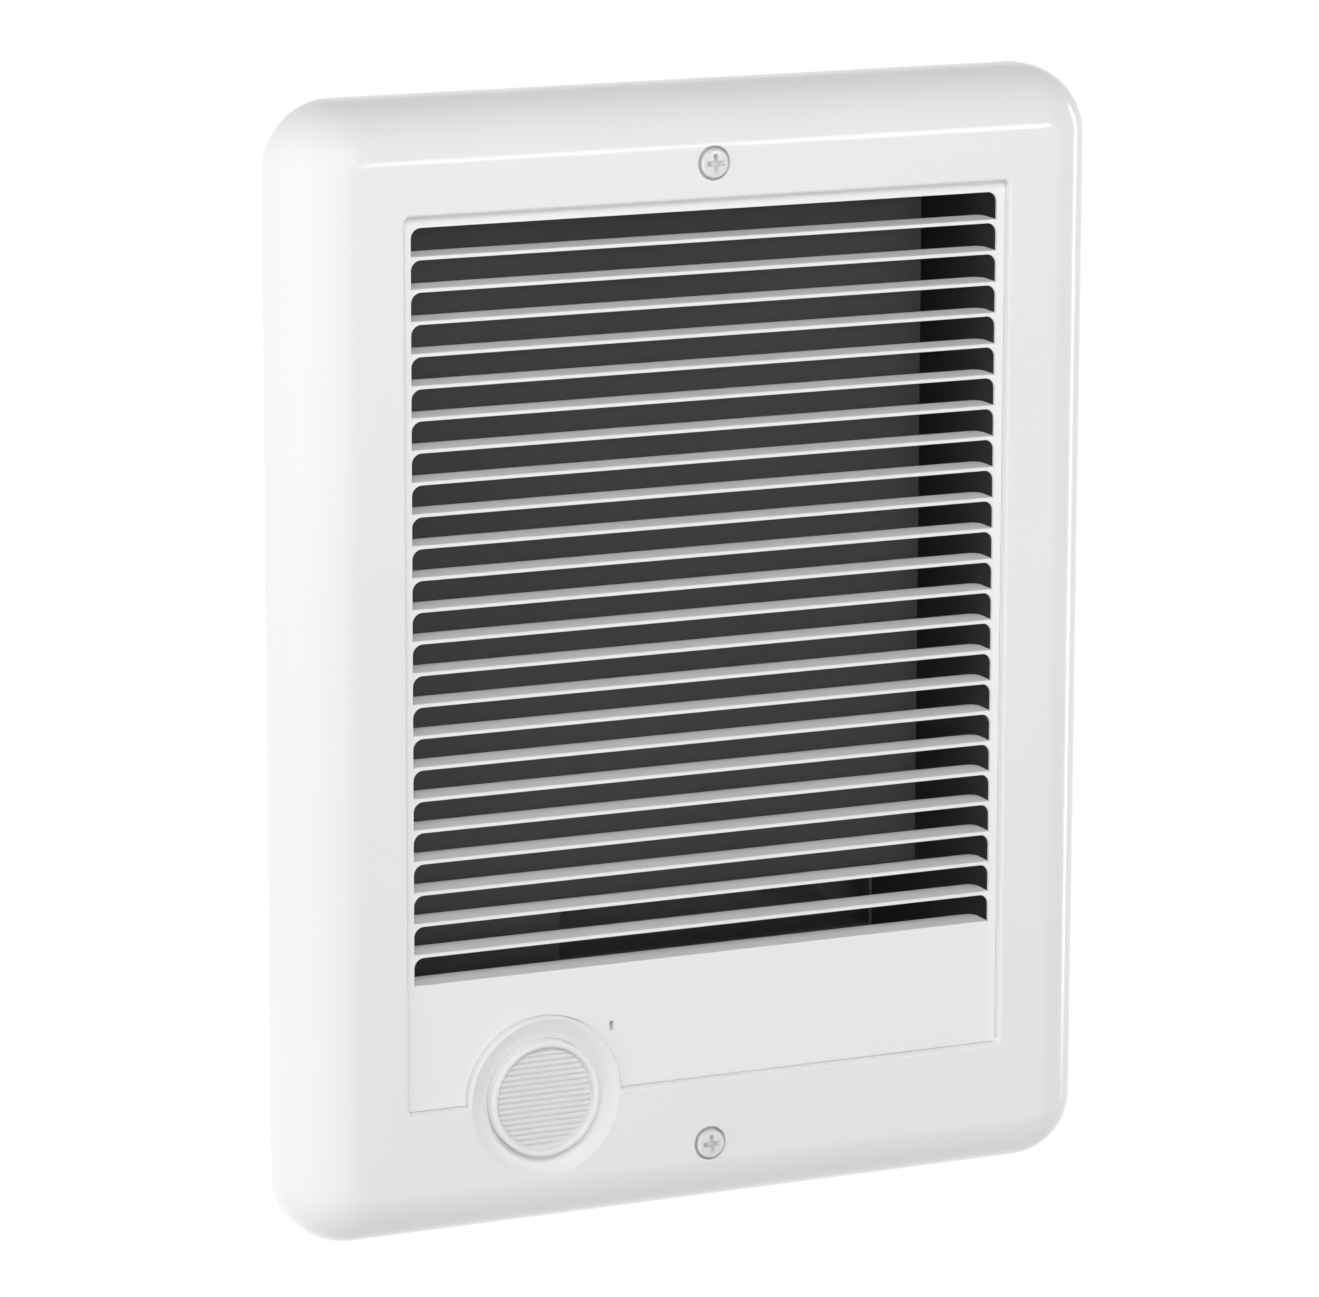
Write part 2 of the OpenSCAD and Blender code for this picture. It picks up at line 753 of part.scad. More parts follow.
// A strip across the stator's face with a bearing housing at its middle, from x0 towards x1
module bearing_bracket(x_strip, x_boss) {
  color("silver") difference() {
    union() {
      box([x_strip, x_strip + bracket_t], [axis_y - 28, axis_y + 28], [axis_z - 7, axis_z + 7]);
      about_axis(housing_r, x_boss, x_boss + 7);
    }
    about_axis(bearing_r, x_boss - cut, x_boss + 8);
    for (s = [-1, 1]) about_axis(bolt_hole_r, x_strip - cut, x_strip + 3, s * bolt_offset);
  }
}

module bearing_bracket_inner() {
  bearing_bracket(stator_right + bracket_gap, stator_right + 4);
}

module bearing_bracket_outer() {
  bearing_bracket(stator_left - bracket_gap - bracket_t, stator_left - 11);
}

module sleeve_bearings() {
  color("goldenrod") for (x = [stator_right + 4, stator_left - 11]) difference() {
    about_axis(bearing_r - 0.02, x, x + 7);
    about_axis(shaft_r + running_gap, x - cut, x + 8);
  }
}

module motor_spacers() {
  color("silver") for (s = [-1, 1]) {
    spans = [
      [stator_left - bracket_gap, stator_left],
      [stator_right, stator_right + bracket_gap],
      [stator_right + bracket_gap + bracket_t, blower_left - sheet_t]
    ];
    for (span = spans) difference() {
      about_axis(4, span[0], span[1], s * bolt_offset);
      about_axis(bolt_hole_r, span[0] - cut, span[1] + cut, s * bolt_offset);
    }
  }
}

module motor_bolts() {
  head = stator_left - bracket_gap - bracket_t;
  color("gainsboro") for (s = [-1, 1]) {
    about_axis(bolt_r, head, blower_left + 3.4, s * bolt_offset);
    about_axis(3.4, head - 2.5, head, s * bolt_offset);
  }
}

module motor_nuts() {
  color("gainsboro") for (s = [-1, 1]) side_on() {
    translate([axis_y + s * bolt_offset, axis_z, blower_left]) difference() {
      cylinder(r = 3.8, h = 2.4, $fn = 6);
      translate([0, 0, -cut]) cylinder(r = bolt_r + 0.05, h = 5);
    }
  }
}

module motor_shaft() {
  color("gainsboro") about_axis(shaft_r, stator_left - 14, wheel_left + hub_len + 3);
}

module rotor() {
  color("darkgray") difference() {
    union() {
      about_axis(rotor_r, stator_left, stator_right);
      for (x = [stator_left - 1.6, stator_right]) about_axis(rotor_r - 2, x, x + 1.6);
    }
    about_axis(shaft_r + 0.02, stator_left - 4, stator_right + 4);
  }
}

// ---------------------------------------------------------------- blower wheel

module wheel_disc() {
  color("lightgray") difference() {
    union() {
      about_axis(wheel_r, wheel_left, wheel_left + disc_t);
      about_axis(hub_r, wheel_left, wheel_left + hub_len);
    }
    about_axis(shaft_r + hub_gap, wheel_left - cut, wheel_left + hub_len + cut);
    translate([wheel_left + 9, axis_y, axis_z]) cylinder(r = 1.6, h = hub_r + cut);
  }
}

module wheel_blades() {
  inner_r = wheel_r - 7;
  steps = 4;
  lean = 18;
  function rib(side) = [for (i = [0 : steps])
    let(t = i / steps, r = inner_r + (wheel_r - 0.6 - inner_r) * t, a = -lean * t * t + side)
      [r * cos(a), r * sin(a)]];
  color("silver") side_on() translate([axis_y, axis_z, blade_left]) {
    for (k = [0 : blade_count - 1]) rotate(360 * k / blade_count) {
      linear_extrude(blade_len) polygon(concat(rib(0), reversed(rib(1.2))));
    }
  }
}

module wheel_ring() {
  color("silver") difference() {
    about_axis(wheel_r, blade_right, blade_right + ring_t);
    about_axis(wheel_r - 7.5, blade_right - cut, blade_right + 2 * cut);
  }
}

module hub_set_screw() {
  color("dimgray") translate([wheel_left + 9, axis_y, axis_z + shaft_r + 0.1]) cylinder(r = 1.5, h = 4.5);
}

// ---------------------------------------------------------------- heating element

module element_frame() {
  wall = 1;
  color("lightgray") difference() {
    box([blower_left - sheet_t, blower_right + sheet_t], [element_front, element_back],
      [element_bottom, scroll_bottom]);
    box([blower_left - sheet_t + wall, blower_right + sheet_t - wall],
      [element_front + wall, element_back - wall], [element_bottom - cut, scroll_bottom + cut]);
    for (z = coil_levels) translate([blower_left, coil_rows[0], z]) rotate([0, 90, 0]) {
      cylinder(r = 3.6, h = 6, center = true);
    }
  }
}

module coil_supports() {
  color("burlywood") for (x = support_x) difference() {
    box([x - support_t / 2, x + support_t / 2], [element_front + 1.2, element_back - 1.2],
      [element_bottom + 2, scroll_bottom - 2]);
    for (y = coil_rows, z = coil_levels) translate([x, y, z]) rotate([0, 90, 0]) {
      cylinder(r = coil_r + 0.2, h = 6, center = true);
    }
  }
}

module heating_coils() {
  color("darkgray") for (y = coil_rows, z = coil_levels) translate([coil_left, y, z]) rotate([0, 90, 0]) {
    difference() {
      cylinder(r = coil_r, h = coil_right - coil_left);
      translate([0, 0, -cut]) cylinder(r = coil_r - coil_wire, h = coil_right - coil_left + 2 * cut);
    }
  }
}

module element_terminals() {
  wall_x = blower_left - sheet_t;
  color("ivory") for (z = coil_levels) translate([wall_x, coil_rows[0], z]) rotate([0, 90, 0]) {
    translate([0, 0, -3]) cylinder(r = 5, h = 3);
    cylinder(r = 3.4, h = 3);
    translate([0, 0, -8]) cylinder(r = 1.5, h = 12);
  }
}

// ---------------------------------------------------------------- thermal limit

module limit_switch() {
  back = deck_y + deck_t;
  color("black") difference() {
    union() {
      box([limit_x - 9, limit_x + 9], [back, back + 15], [limit_z - 9, limit_z + 9]);
      box([limit_x - 4, limit_x + 4], [back, back + 2], [limit_z - 17, limit_z + 17]);
    }
    along_y(limit_x, limit_z, button_r + 0.05, 0, 13);
    for (s = [-1, 1]) along_y(limit_x, limit_z + 13 * s, 1.6, 0, 10);
  }
}

module limit_screws() {
  color("silver") for (s = [-1, 1]) {
    translate([limit_x, deck_y, limit_z + 13 * s]) face_on() pan_screw(1.5, 5, 2.8, 1.8);
  }
}

module limit_capillary() {
  route = [[-78.8, 14, -30], [-70, 14, -30], [-50, 20, -30], [-30, 30, -30], [-10, 32, -30], [20, 32, -30],
    [56, 32, -30]];
  color("peru") wire(route, 1);
}

module reset_button() {
  color("firebrick") {
    along_y(limit_x, limit_z, button_r, deck_y - 5, 13 - button_travel - 0.3);
  }
}

// ---------------------------------------------------------------- leads

module wire_connectors() {
  color("khaki") {
    translate([-84, 53, -109]) rotate([-68, 0, 0]) cylinder(r1 = 6.5, r2 = 3.2, h = 20);
    translate([-84, 75, -101]) rotate([170, 0, 0]) cylinder(r1 = 6.5, r2 = 3.2, h = 20);
  }
}

module lead_line() {
  color("dimgray") wire(line_route, lead_r);
}

module lead_limit() {
  color("black") wire(limit_route, lead_r);
}

module lead_element() {
  color("firebrick") wire(element_route, lead_r);
}

module lead_return() {
  color("firebrick") wire(return_route, lead_r);
}

module lead_motor() {
  color("black") wire(motor_route, lead_r * 0.75);
}

module lead_ground() {
  color("seagreen") wire(ground_route, lead_r);
}

// ---------------------------------------------------------------- nodes

grille_frame();
louvre_panel();
panel_clips();
grille_screws();
clip_nuts();
wall_can();
ground_screw();
chassis_deck();
deck_screws();
scroll_wrapper();
scroll_end_motor();
scroll_end_inlet();
stator_core();
coil_bobbin();
coil_winding();
shading_rings();
bearing_bracket_inner();
bearing_bracket_outer();
sleeve_bearings();
motor_spacers();
motor_bolts();
motor_nuts();
element_frame();
coil_supports();
heating_coils();
element_terminals();
air_deflector();
limit_switch();
limit_screws();
limit_capillary();
thermostat_body();
thermostat_bracket();
thermostat_nut();
thermostat_terminals();
wire_connectors();
lead_line();
lead_limit();
lead_element();
lead_return();
lead_motor();
lead_ground();
motor_shaft();
rotor();
wheel_disc();
wheel_blades();
wheel_ring();
hub_set_screw();
knob();
knob_clip();
thermostat_spindle();
reset_button();
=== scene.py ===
"""Looks of the in-wall fan convector heater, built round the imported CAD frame."""
import json
import math

import bmesh
import bpy
from mathutils import Matrix, Vector


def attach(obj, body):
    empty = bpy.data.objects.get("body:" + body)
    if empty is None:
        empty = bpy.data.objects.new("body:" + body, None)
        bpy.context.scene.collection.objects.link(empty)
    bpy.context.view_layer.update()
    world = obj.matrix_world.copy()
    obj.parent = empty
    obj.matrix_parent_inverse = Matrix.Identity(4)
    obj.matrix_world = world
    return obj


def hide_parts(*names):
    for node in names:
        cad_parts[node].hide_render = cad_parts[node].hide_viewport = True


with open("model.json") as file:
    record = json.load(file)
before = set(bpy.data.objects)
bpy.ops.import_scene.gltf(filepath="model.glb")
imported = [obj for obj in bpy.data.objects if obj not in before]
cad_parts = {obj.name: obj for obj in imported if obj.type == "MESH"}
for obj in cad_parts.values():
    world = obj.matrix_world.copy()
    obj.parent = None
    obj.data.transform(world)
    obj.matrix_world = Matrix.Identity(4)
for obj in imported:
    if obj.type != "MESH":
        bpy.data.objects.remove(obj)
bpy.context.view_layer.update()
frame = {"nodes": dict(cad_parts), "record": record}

MM = 0.001

# Driving sizes in millimetres, as in the CAD where it has the same shape. X is to the right, Y into
# the wall and Z up; "forward" and "front" sizes are distances from the wall plane towards the room.

# grille frame, with the recess that holds the louvre panel and the window behind it
FRAME_W, FRAME_H, FRAME_D = 236.0, 305.0, 24.0
FRAME_T = 2.5
CORNER_R = 18.5
RIM_W, RIM_D = 15.0, 20.0
RECESS_HALF_W, RECESS_TOP, RECESS_BOTTOM = 88.0, 123.5, -115.0
WINDOW_HALF_W, WINDOW_TOP, WINDOW_BOTTOM = 86.7, 121.5, -88.0

# louvre panel, its slots with their bent flaps, and the pointer mark
PANEL_FRONT, PANEL_T, LEDGE_T = 21.5, 0.8, 2.0
SLOT_COUNT, SLOT_HALF_W, SLOT_H, SLOT_PITCH = 24, 85.5, 7.5, 8.42
FIRST_SLOT_TOP, FLAP_R, FLAP_DEPTH, FLAP_BEND = 120.4, 2.8, 8.6, 0.45
MARK_X, MARK_Z, MARK_W, MARK_H = -28.3, -97.8, 1.2, 2.8
CUT_BACK, CUT_FRONT = 10.0, 30.0    # cutters for through holes start and stop here, forward of the wall

# knob and the dished collar round it
KNOB_X, KNOB_Z, KNOB_R = -48.5, -115.0, 15.9
KNOB_FACE, KNOB_CREST, KNOB_SKIRT, KNOB_RIBS = 22.4, 24.4, 19.8, 17
COLLAR_R, DISH_FLOOR, DISH_BACK = 22.3, 19.3, 17.0

# grille screws and their seats
SCREW_Z, SCREW_HEAD_R, SCREW_HEAD_H, SEAT_D, SEAT_GAP = 133.0, 3.9, 2.0, 0.7, 0.75

# wall can, its mounting holes, knockouts and side flaps
CAN_W, CAN_H, CAN_D, CAN_T = 210.0, 278.0, 95.0, 1.0
STUD_Y, STUD_Z, STUD_R = (22.0, 72.0), 100.0, 2.5
KNOCKOUT_R, KNOCKOUT_GAP, FLAP_PROUD = 11.1, 0.6, 0.75


# ---------------------------------------------------------------- mesh helpers

def add_object(name, data):
    """An object for the data, linked to the scene."""
    obj = bpy.data.objects.new(name, data)
    bpy.context.scene.collection.objects.link(obj)
    return obj


def new_mesh(name, verts, faces):
    """A mesh from points in millimetres."""
    mesh = bpy.data.meshes.new(name)
    mesh.from_pydata([Vector(v) * MM for v in verts], [], faces)
    return mesh


def edit_mesh(mesh, change):
    """Run change on the mesh as a bmesh."""
    bm = bmesh.new()
    bm.from_mesh(mesh)
    change(bm)
    bm.to_mesh(mesh)
    bm.free()


def new_object(name, verts, faces):
    """A solid from points in millimetres, with its faces turned outwards."""
    mesh = new_mesh(name, verts, faces)
    mesh.validate()
    edit_mesh(mesh, lambda bm: bmesh.ops.recalc_face_normals(bm, faces=bm.faces))
    return add_object(name, mesh)


def loft(name, rings):
    """A closed solid through rings that all have the same number of points."""
    count = len(rings[0])
    verts = [p for ring in rings for p in ring]
    faces = [tuple(range(count)), tuple(range(len(verts) - 1, len(verts) - count - 1, -1))]
    for i in range(len(rings) - 1):
        for k in range(count):
            a, b = i * count + k, i * count + (k + 1) % count
            faces.append((a, b, b + count, a + count))
    return new_object(name, verts, faces)


def about_axis(axis, r, a, s):
    """The point at radius r, angle a and place s along an axis through the origin."""
    return {"x": (s, r * math.cos(a), r * math.sin(a)),
            "y": (r * math.cos(a), s, r * math.sin(a)),
            "z": (r * math.cos(a), r * math.sin(a), s)}[axis]


def revolve(name, profile, centre, axis="y", segments=96):
    """A solid turned about an axis through centre.

    profile holds (radius, place along the axis), and starts and ends at radius 0."""
    verts, faces = [], []
    body = profile[1:-1]
    for r, s in body:
        for k in range(segments):
            verts.append(Vector(centre) + Vector(about_axis(axis, r, math.tau * k / segments, s)))
    for i in range(len(body) - 1):
        for k in range(segments):
            a, b = i * segments + k, i * segments + (k + 1) % segments
            faces.append((a, b, b + segments, a + segments))
    for end, row in ((profile[0], 0), (profile[-1], len(body) - 1)):
        verts.append(Vector(centre) + Vector(about_axis(axis, 0, 0, end[1])))
        for k in range(segments):
            faces.append((row * segments + k, row * segments + (k + 1) % segments, len(verts) - 1))
    return new_object(name, verts, faces)


def ring_revolve(name, profile, centre, axis="y", segments=96):
    """A ring: a closed profile of (radius, place along the axis) turned about an axis."""
    count = len(profile)
    verts = [Vector(centre) + Vector(about_axis(axis, r, math.tau * k / segments, s))
             for k in range(segments) for r, s in profile]
    faces = [(k * count + i, k * count + (i + 1) % count,
              ((k + 1) % segments) * count + (i + 1) % count, ((k + 1) % segments) * count + i)
             for k in range(segments) for i in range(count)]
    return new_object(name, verts, faces)


def rod(radius, start, stop):
    """Profile of a plain round bar, for revolve."""
    return [(0, start), (radius, start), (radius, stop), (0, stop)]


def block(name, low, high):
    """A plain block between two corners, used as a tool or as one part of a piece."""
    x, y, z = zip(low, high)
    return loft(name, [[(x[0], y[i], z[0]), (x[1], y[i], z[0]), (x[1], y[i], z[1]), (x[0], y[i], z[1])]
                       for i in (0, 1)])


def join(name, objects):
    """One object from several closed ones."""
    bm = bmesh.new()
    for obj in objects:
        bm.from_mesh(obj.data)
    for obj in objects:
        bpy.data.objects.remove(obj)
    mesh = bpy.data.meshes.new(name)
    bm.to_mesh(mesh)
    bm.free()
    return add_object(name, mesh)


def apply_modifiers(obj):
    """Make what the modifiers show the object's own mesh."""
    graph = bpy.context.evaluated_depsgraph_get()
    mesh = bpy.data.meshes.new_from_object(obj.evaluated_get(graph))
    old = obj.data
    obj.modifiers.clear()
    obj.data = mesh
    bpy.data.meshes.remove(old)
    mesh.name = obj.name


def combine(obj, tool, operation):
    """obj with tool cut out of it or joined to it; tool is used up."""
    modifier = obj.modifiers.new("combine", "BOOLEAN")
    modifier.operation = operation
    modifier.object = tool
    modifier.solver = "MANIFOLD"
    apply_modifiers(obj)
    bpy.data.objects.remove(tool)
    return obj


def cut(obj, tool):
    return combine(obj, tool, "DIFFERENCE")


def weld(obj, tool):
    return combine(obj, tool, "UNION")


def smooth(obj, angle):
    """Smooth shading that stays sharp past an angle, with normals led by the large faces."""
    mesh = obj.data
    speck = 0.0002 * MM
    edit_mesh(mesh, lambda bm: bmesh.ops.dissolve_degenerate(bm, dist=speck, edges=bm.edges))
    mesh.shade_smooth()
    mesh.set_sharp_from_angle(angle=math.radians(angle))
    modifier = obj.modifiers.new("normals", "WEIGHTED_NORMAL")
    modifier.keep_sharp = True
    modifier.weight = 90
    apply_modifiers(obj)
    return obj


# ---------------------------------------------------------------- outlines

def arc(cx, cz, r, start, stop, steps):
    """Points on an arc, angles in degrees."""
    points = []
    for i in range(steps + 1):
        a = math.radians(start + (stop - start) * i / steps)
        points.append((cx + r * math.cos(a), cz + r * math.sin(a)))
    return points


def round_rect(half_w, half_h, r, cx=0.0, cz=0.0, steps=16):
    """Rounded rectangle, as (x, z) points."""
    points = []
    for q, (sx, sz) in enumerate(((1, 1), (-1, 1), (-1, -1), (1, -1))):
        points += arc(cx + sx * (half_w - r), cz + sz * (half_h - r), r, 90 * q, 90 * q + 90, steps)
    return points


def recess_outline(grow, corner=1.4):
    """The recess in the front face: a rectangle that the knob's round collar reaches into."""
    half_w, top, bottom = RECESS_HALF_W + grow, RECESS_TOP + grow, RECESS_BOTTOM - grow
    r, collar = corner + grow, COLLAR_R - grow
    meet = math.degrees(math.asin((bottom - KNOB_Z) / collar))
    points = arc(-half_w + r, bottom + r, r, 180, 270, 6)
    points += arc(KNOB_X, KNOB_Z, collar, 180 - meet, meet, 48)
    points += arc(half_w - r, bottom + r, r, 270, 360, 6)
    points += arc(half_w - r, top - r, r, 0, 90, 6)
    points += arc(-half_w + r, top - r, r, 90, 180, 6)
    return points


def at_depth(points, forward):
    """Outline points placed at a distance in front of the wall plane."""
    return [(x, -forward, z) for x, z in points]


def rim_profile(width, depth, front, steps=26, last=76, ease=1.5):
    """(inset, forward) along the rounded rim.

    It goes up the side, round the curve and over a tight edge on to the flat front."""
    points = []
    for i in range(steps + 1):
        u = math.radians(last * i / steps)
        points.append((width * (1 - math.cos(u)) / (1 - math.cos(math.radians(last))),
                       front - depth + depth * math.sin(u) / math.sin(math.radians(last))))
    corner = Vector(points.pop())
    back = Vector(points[-1])
    before = corner.lerp(back, ease / (corner - back).length)
    after = corner + Vector((ease, 0))
    points.append(tuple(before))
    for i in range(1, 5):
        t = i / 4
        points.append(tuple(before.lerp(corner, t).lerp(corner.lerp(after, t), t)))
    return points


def rim_block(name, w, h, front, corner, width, depth, rear=0.0, rear_round=0.0):
    """A block whose front edge is the rounded rim."""
    profile = rim_profile(width, depth, front)
    rings = []
    if rear_round:
        for i in range(4):
            a = math.radians(90 * i / 3)
            rings.append((rear_round * (1 - math.sin(a)), rear + rear_round * (1 - math.cos(a))))
    else:
        rings.append((0.0, rear))
    rings += profile
    return loft(name, [at_depth(round_rect(w / 2 - inset, h / 2 - inset, corner - inset), forward)
                       for inset, forward in rings])


# ---------------------------------------------------------------- grille frame

def frame_shell():
    """The rounded cover, open at the back."""
    thinner = 1.2
    shell = rim_block("grille_shell", FRAME_W, FRAME_H, FRAME_D, CORNER_R, RIM_W, RIM_D, rear_round=0.6)
    hollow = rim_block("hollow", FRAME_W - 2 * FRAME_T, FRAME_H - 2 * FRAME_T, FRAME_D - FRAME_T,
                       CORNER_R - FRAME_T, RIM_W - thinner, RIM_D - thinner, rear=-1.0)
    return cut(shell, hollow)


def recess_pan():
    """The tray behind the recess, which the louvre panel lies in."""
    ledge_back = PANEL_FRONT - PANEL_T - LEDGE_T
    centre_z = (RECESS_TOP + RECESS_BOTTOM) / 2
    half_h = (RECESS_TOP - RECESS_BOTTOM) / 2
    wall = 2
    return loft("pan", [at_depth(round_rect(RECESS_HALF_W + wall, half_h + wall, 3, 0, centre_z), y)
                        for y in (ledge_back, FRAME_D - 1)])


def knob_collar():
    """The round boss behind the knob's dish."""
    front = 23.4
    profile = [(0, -DISH_BACK), (COLLAR_R - 1, -DISH_BACK), (COLLAR_R, -DISH_BACK - 1),
               (COLLAR_R, -front), (0, -front)]
    return revolve("collar", profile, (KNOB_X, 0, KNOB_Z), segments=160)


def screw_boss(side):
    radius, edge, front = 5.4, 0.4, 22.5
    profile = [(0, 0), (radius - edge, 0), (radius, -edge), (radius, -front), (0, -front)]
    return revolve("boss", profile, (0, 0, side * SCREW_Z))


def recess_cutter():
    """Cutter for the panel's recess, with a rounded edge at the front."""
    edge = 1.0
    rings = [(edge, FRAME_D + 1.0), (edge, FRAME_D)]
    for i in range(1, 7):
        t = edge * (1 - math.cos(math.radians(15 * i)))
        rings.append((edge - math.sqrt(max(edge * edge - (edge - t) ** 2, 0)), FRAME_D - t))
    rings.append((0.0, PANEL_FRONT - PANEL_T))
    return loft("recess", [at_depth(recess_outline(grow), y) for grow, y in rings])


def window_cutter():
    """Cutter for the frame's opening behind the louvres."""
    centre_z = (WINDOW_TOP + WINDOW_BOTTOM) / 2
    half_h = (WINDOW_TOP - WINDOW_BOTTOM) / 2
    return loft("window", [at_depth(round_rect(WINDOW_HALF_W, half_h, 1.5, 0, centre_z), y)
                           for y in (CUT_BACK, FRAME_D + 1)])


def screw_seat(side):
    """Cutter for a screw's clear hole and the seat of its head, with a groove under the head's edge."""
    hole_r, groove_depth, lip = 2.4, 0.8, 0.18
    seat_r = SCREW_HEAD_R + SEAT_GAP
    floor = SEAT_D - FRAME_D
    groove = floor + groove_depth
    profile = [(0, 2), (hole_r, 2), (hole_r, floor), (SCREW_HEAD_R - 0.5, floor),
               (SCREW_HEAD_R - 0.3, groove), (seat_r - 0.1, groove), (seat_r, floor),
               (seat_r, -FRAME_D + 0.12), (seat_r + lip, -FRAME_D - 0.1), (seat_r + lip, -CUT_FRONT),
               (0, -CUT_FRONT)]
    return revolve("screw_hole", profile, (0, 0, side * SCREW_Z), segments=64)


def build_grille_frame():
    body = frame_shell()
    weld(body, recess_pan())
    weld(body, knob_collar())
    for side in (-1, 1):
        weld(body, screw_boss(side))
    cut(body, recess_cutter())
    cut(body, window_cutter())
    pocket = 1.1
    cut(body, pointer_mark(0.1, PANEL_FRONT - PANEL_T - pocket))
    knob_centre = (KNOB_X, 0, KNOB_Z)
    hub_hole_r = 7
    cut(body, revolve("dish", dish_profile(), knob_centre, segments=160))
    cut(body, revolve("hub_hole", rod(hub_hole_r, -CUT_BACK, -CUT_FRONT), knob_centre))
    for side in (-1, 1):
        cut(body, screw_seat(side))
    body.name = "grille_shell"
    return smooth(body, 30)


def dish_profile():
    """Cutter for the dished ring round the knob, as (radius, y).

    It has a round lip, a slope and the well that the knob turns in."""
    lip, well = COLLAR_R - 0.5, KNOB_R + 0.08
    lip_sink, depth, curve, steps = 0.1, 3.008, 2.2, 24
    points = [(0, -FRAME_D - 1), (lip, -FRAME_D - 1), (lip, -FRAME_D)]
    for i in range(1, steps + 1):
        t = i / steps
        radius = lip - (lip - well) * t
        drop = depth * (1 - (1 - t) ** curve) * (0.35 + 0.65 * t)
        points.append((radius, -FRAME_D + drop + lip_sink * min(t * 6, 1) ** 2))
    points += [(well, -DISH_FLOOR), (0, -DISH_FLOOR)]
    return points


# ---------------------------------------------------------------- louvre panel

def slot_outline(top, drop):
    """Cutter outline of a slot with round top corners; it reaches drop below the top."""
    half, r = SLOT_HALF_W, FLAP_R
    return arc(half - r, top - r, r, 0, 90, 10) + arc(-half + r, top - r, r, 90, 180, 10) + [
        (-half, top - drop), (half, top - drop)]


def louvre_strip(bottom, tilt=1.7, bend_steps=6, flat_steps=2, corner_steps=9):
    """The slot's own metal bent back at its bottom edge, with round far corners."""
    turn = math.radians(90 - tilt)
    pivot = (PANEL_FRONT - FLAP_BEND, bottom - FLAP_BEND)
    path = [(PANEL_FRONT, pivot[1] - 0.25, 0.0, 0.0)]
    for i in range(bend_steps + 1):
        a = turn * i / bend_steps
        path.append((pivot[0] + FLAP_BEND * math.cos(a), pivot[1] + FLAP_BEND * math.sin(a), a, 0.0))
    straight = FLAP_DEPTH - FLAP_BEND
    start = path[-1]
    reaches = [(straight - FLAP_R) * i / flat_steps for i in range(1, flat_steps + 1)]
    reaches += [straight - FLAP_R + FLAP_R * math.sin(math.radians(90 * i / corner_steps))
                for i in range(1, corner_steps + 1)]
    for reach in reaches:
        path.append((start[0] - reach * math.sin(turn), start[1] + reach * math.cos(turn), turn, reach))
    rings = []
    widest = SLOT_HALF_W - 0.1
    for forward, z, angle, reach in path:
        past = max(reach - (straight - FLAP_R), 0.0)
        half = widest - (FLAP_R - math.sqrt(max(FLAP_R ** 2 - past ** 2, 0.0)))
        half = max(half, widest - FLAP_R)
        under_y = -(forward - math.cos(angle) * PANEL_T)
        under_z = z - math.sin(angle) * PANEL_T
        rings.append([(-half, -forward, z), (half, -forward, z), (half, under_y, under_z),
                      (-half, under_y, under_z)])
    return loft("strip", rings)


def pointer_mark(grow, deep):
    """Cutter for the small slit that the knob's setting is read against, from deep outwards."""
    outline = round_rect(MARK_W / 2 + grow, MARK_H / 2 + grow, 0.55 + grow, MARK_X, MARK_Z, 5)
    return loft("mark", [at_depth(outline, y) for y in (deep, CUT_FRONT)])


def build_louvre_panel():
    back = PANEL_FRONT - PANEL_T
    plate = loft("louvre_sheet", [at_depth(recess_outline(-0.1, 1.2), y) for y in (back, PANEL_FRONT)])
    cutters = []
    strips = []
    for i in range(SLOT_COUNT):
        top = FIRST_SLOT_TOP - i * SLOT_PITCH
        outline = slot_outline(top, SLOT_H + FLAP_BEND)
        cutters.append(loft("slot", [at_depth(outline, y) for y in (CUT_BACK, CUT_FRONT)]))
        strips.append(louvre_strip(top - SLOT_H))
    cutters.append(pointer_mark(0.0, CUT_BACK))
    cut(plate, join("cutters", cutters))
    weld(plate, join("strips", strips))
    plate.name = "louvre_sheet"
    return smooth(plate, 30)


# ---------------------------------------------------------------- knob

def build_knob():
    """Flush knob: a rounded rim about a disc set back by 2 mm, with ribs across it."""
    centre = (KNOB_X, 0, KNOB_Z)
    disc_r, crest_r, round_r = KNOB_R - 1.9, KNOB_R - 0.95, 0.95
    profile = [(0, -KNOB_SKIRT), (KNOB_R - 0.3, -KNOB_SKIRT), (KNOB_R, -KNOB_SKIRT - 0.3),
               (KNOB_R, -KNOB_CREST + round_r)]
    for i in range(1, 13):
        a = math.radians(165 * i / 12)
        profile.append((crest_r + round_r * math.cos(a), -KNOB_CREST + round_r - round_r * math.sin(a)))
    profile += [(disc_r - 0.1, -KNOB_FACE - 0.25), (disc_r - 0.5, -KNOB_FACE), (0, -KNOB_FACE)]
    knob = revolve("knob_cap", profile, centre, segments=128)
    hub_r, hub_back, hub_front = 6, 9.4, KNOB_SKIRT + 0.5
    weld(knob, revolve("hub", [(0, -hub_back), (hub_r - 0.4, -hub_back), (hub_r, -hub_back - 0.4),
                               (hub_r, -hub_front), (0, -hub_front)], centre))
    bore_r, bore_back, bore_front = 3.1, 8, 20.4
    cut(knob, revolve("bore", rod(bore_r, -bore_back, -bore_front), centre, segments=48))
    reach = disc_r - 0.4
    pitch = 2 * reach / (KNOB_RIBS + 1)
    ribs = []
    for i in range(1, KNOB_RIBS + 1):
        z = -reach + i * pitch
        ribs.append(rib(KNOB_X, KNOB_Z + z, math.sqrt(reach ** 2 - z ** 2), KNOB_FACE))
    weld(knob, join("ribs", ribs))
    knob.name = "knob_cap"
    return smooth(knob, 34)


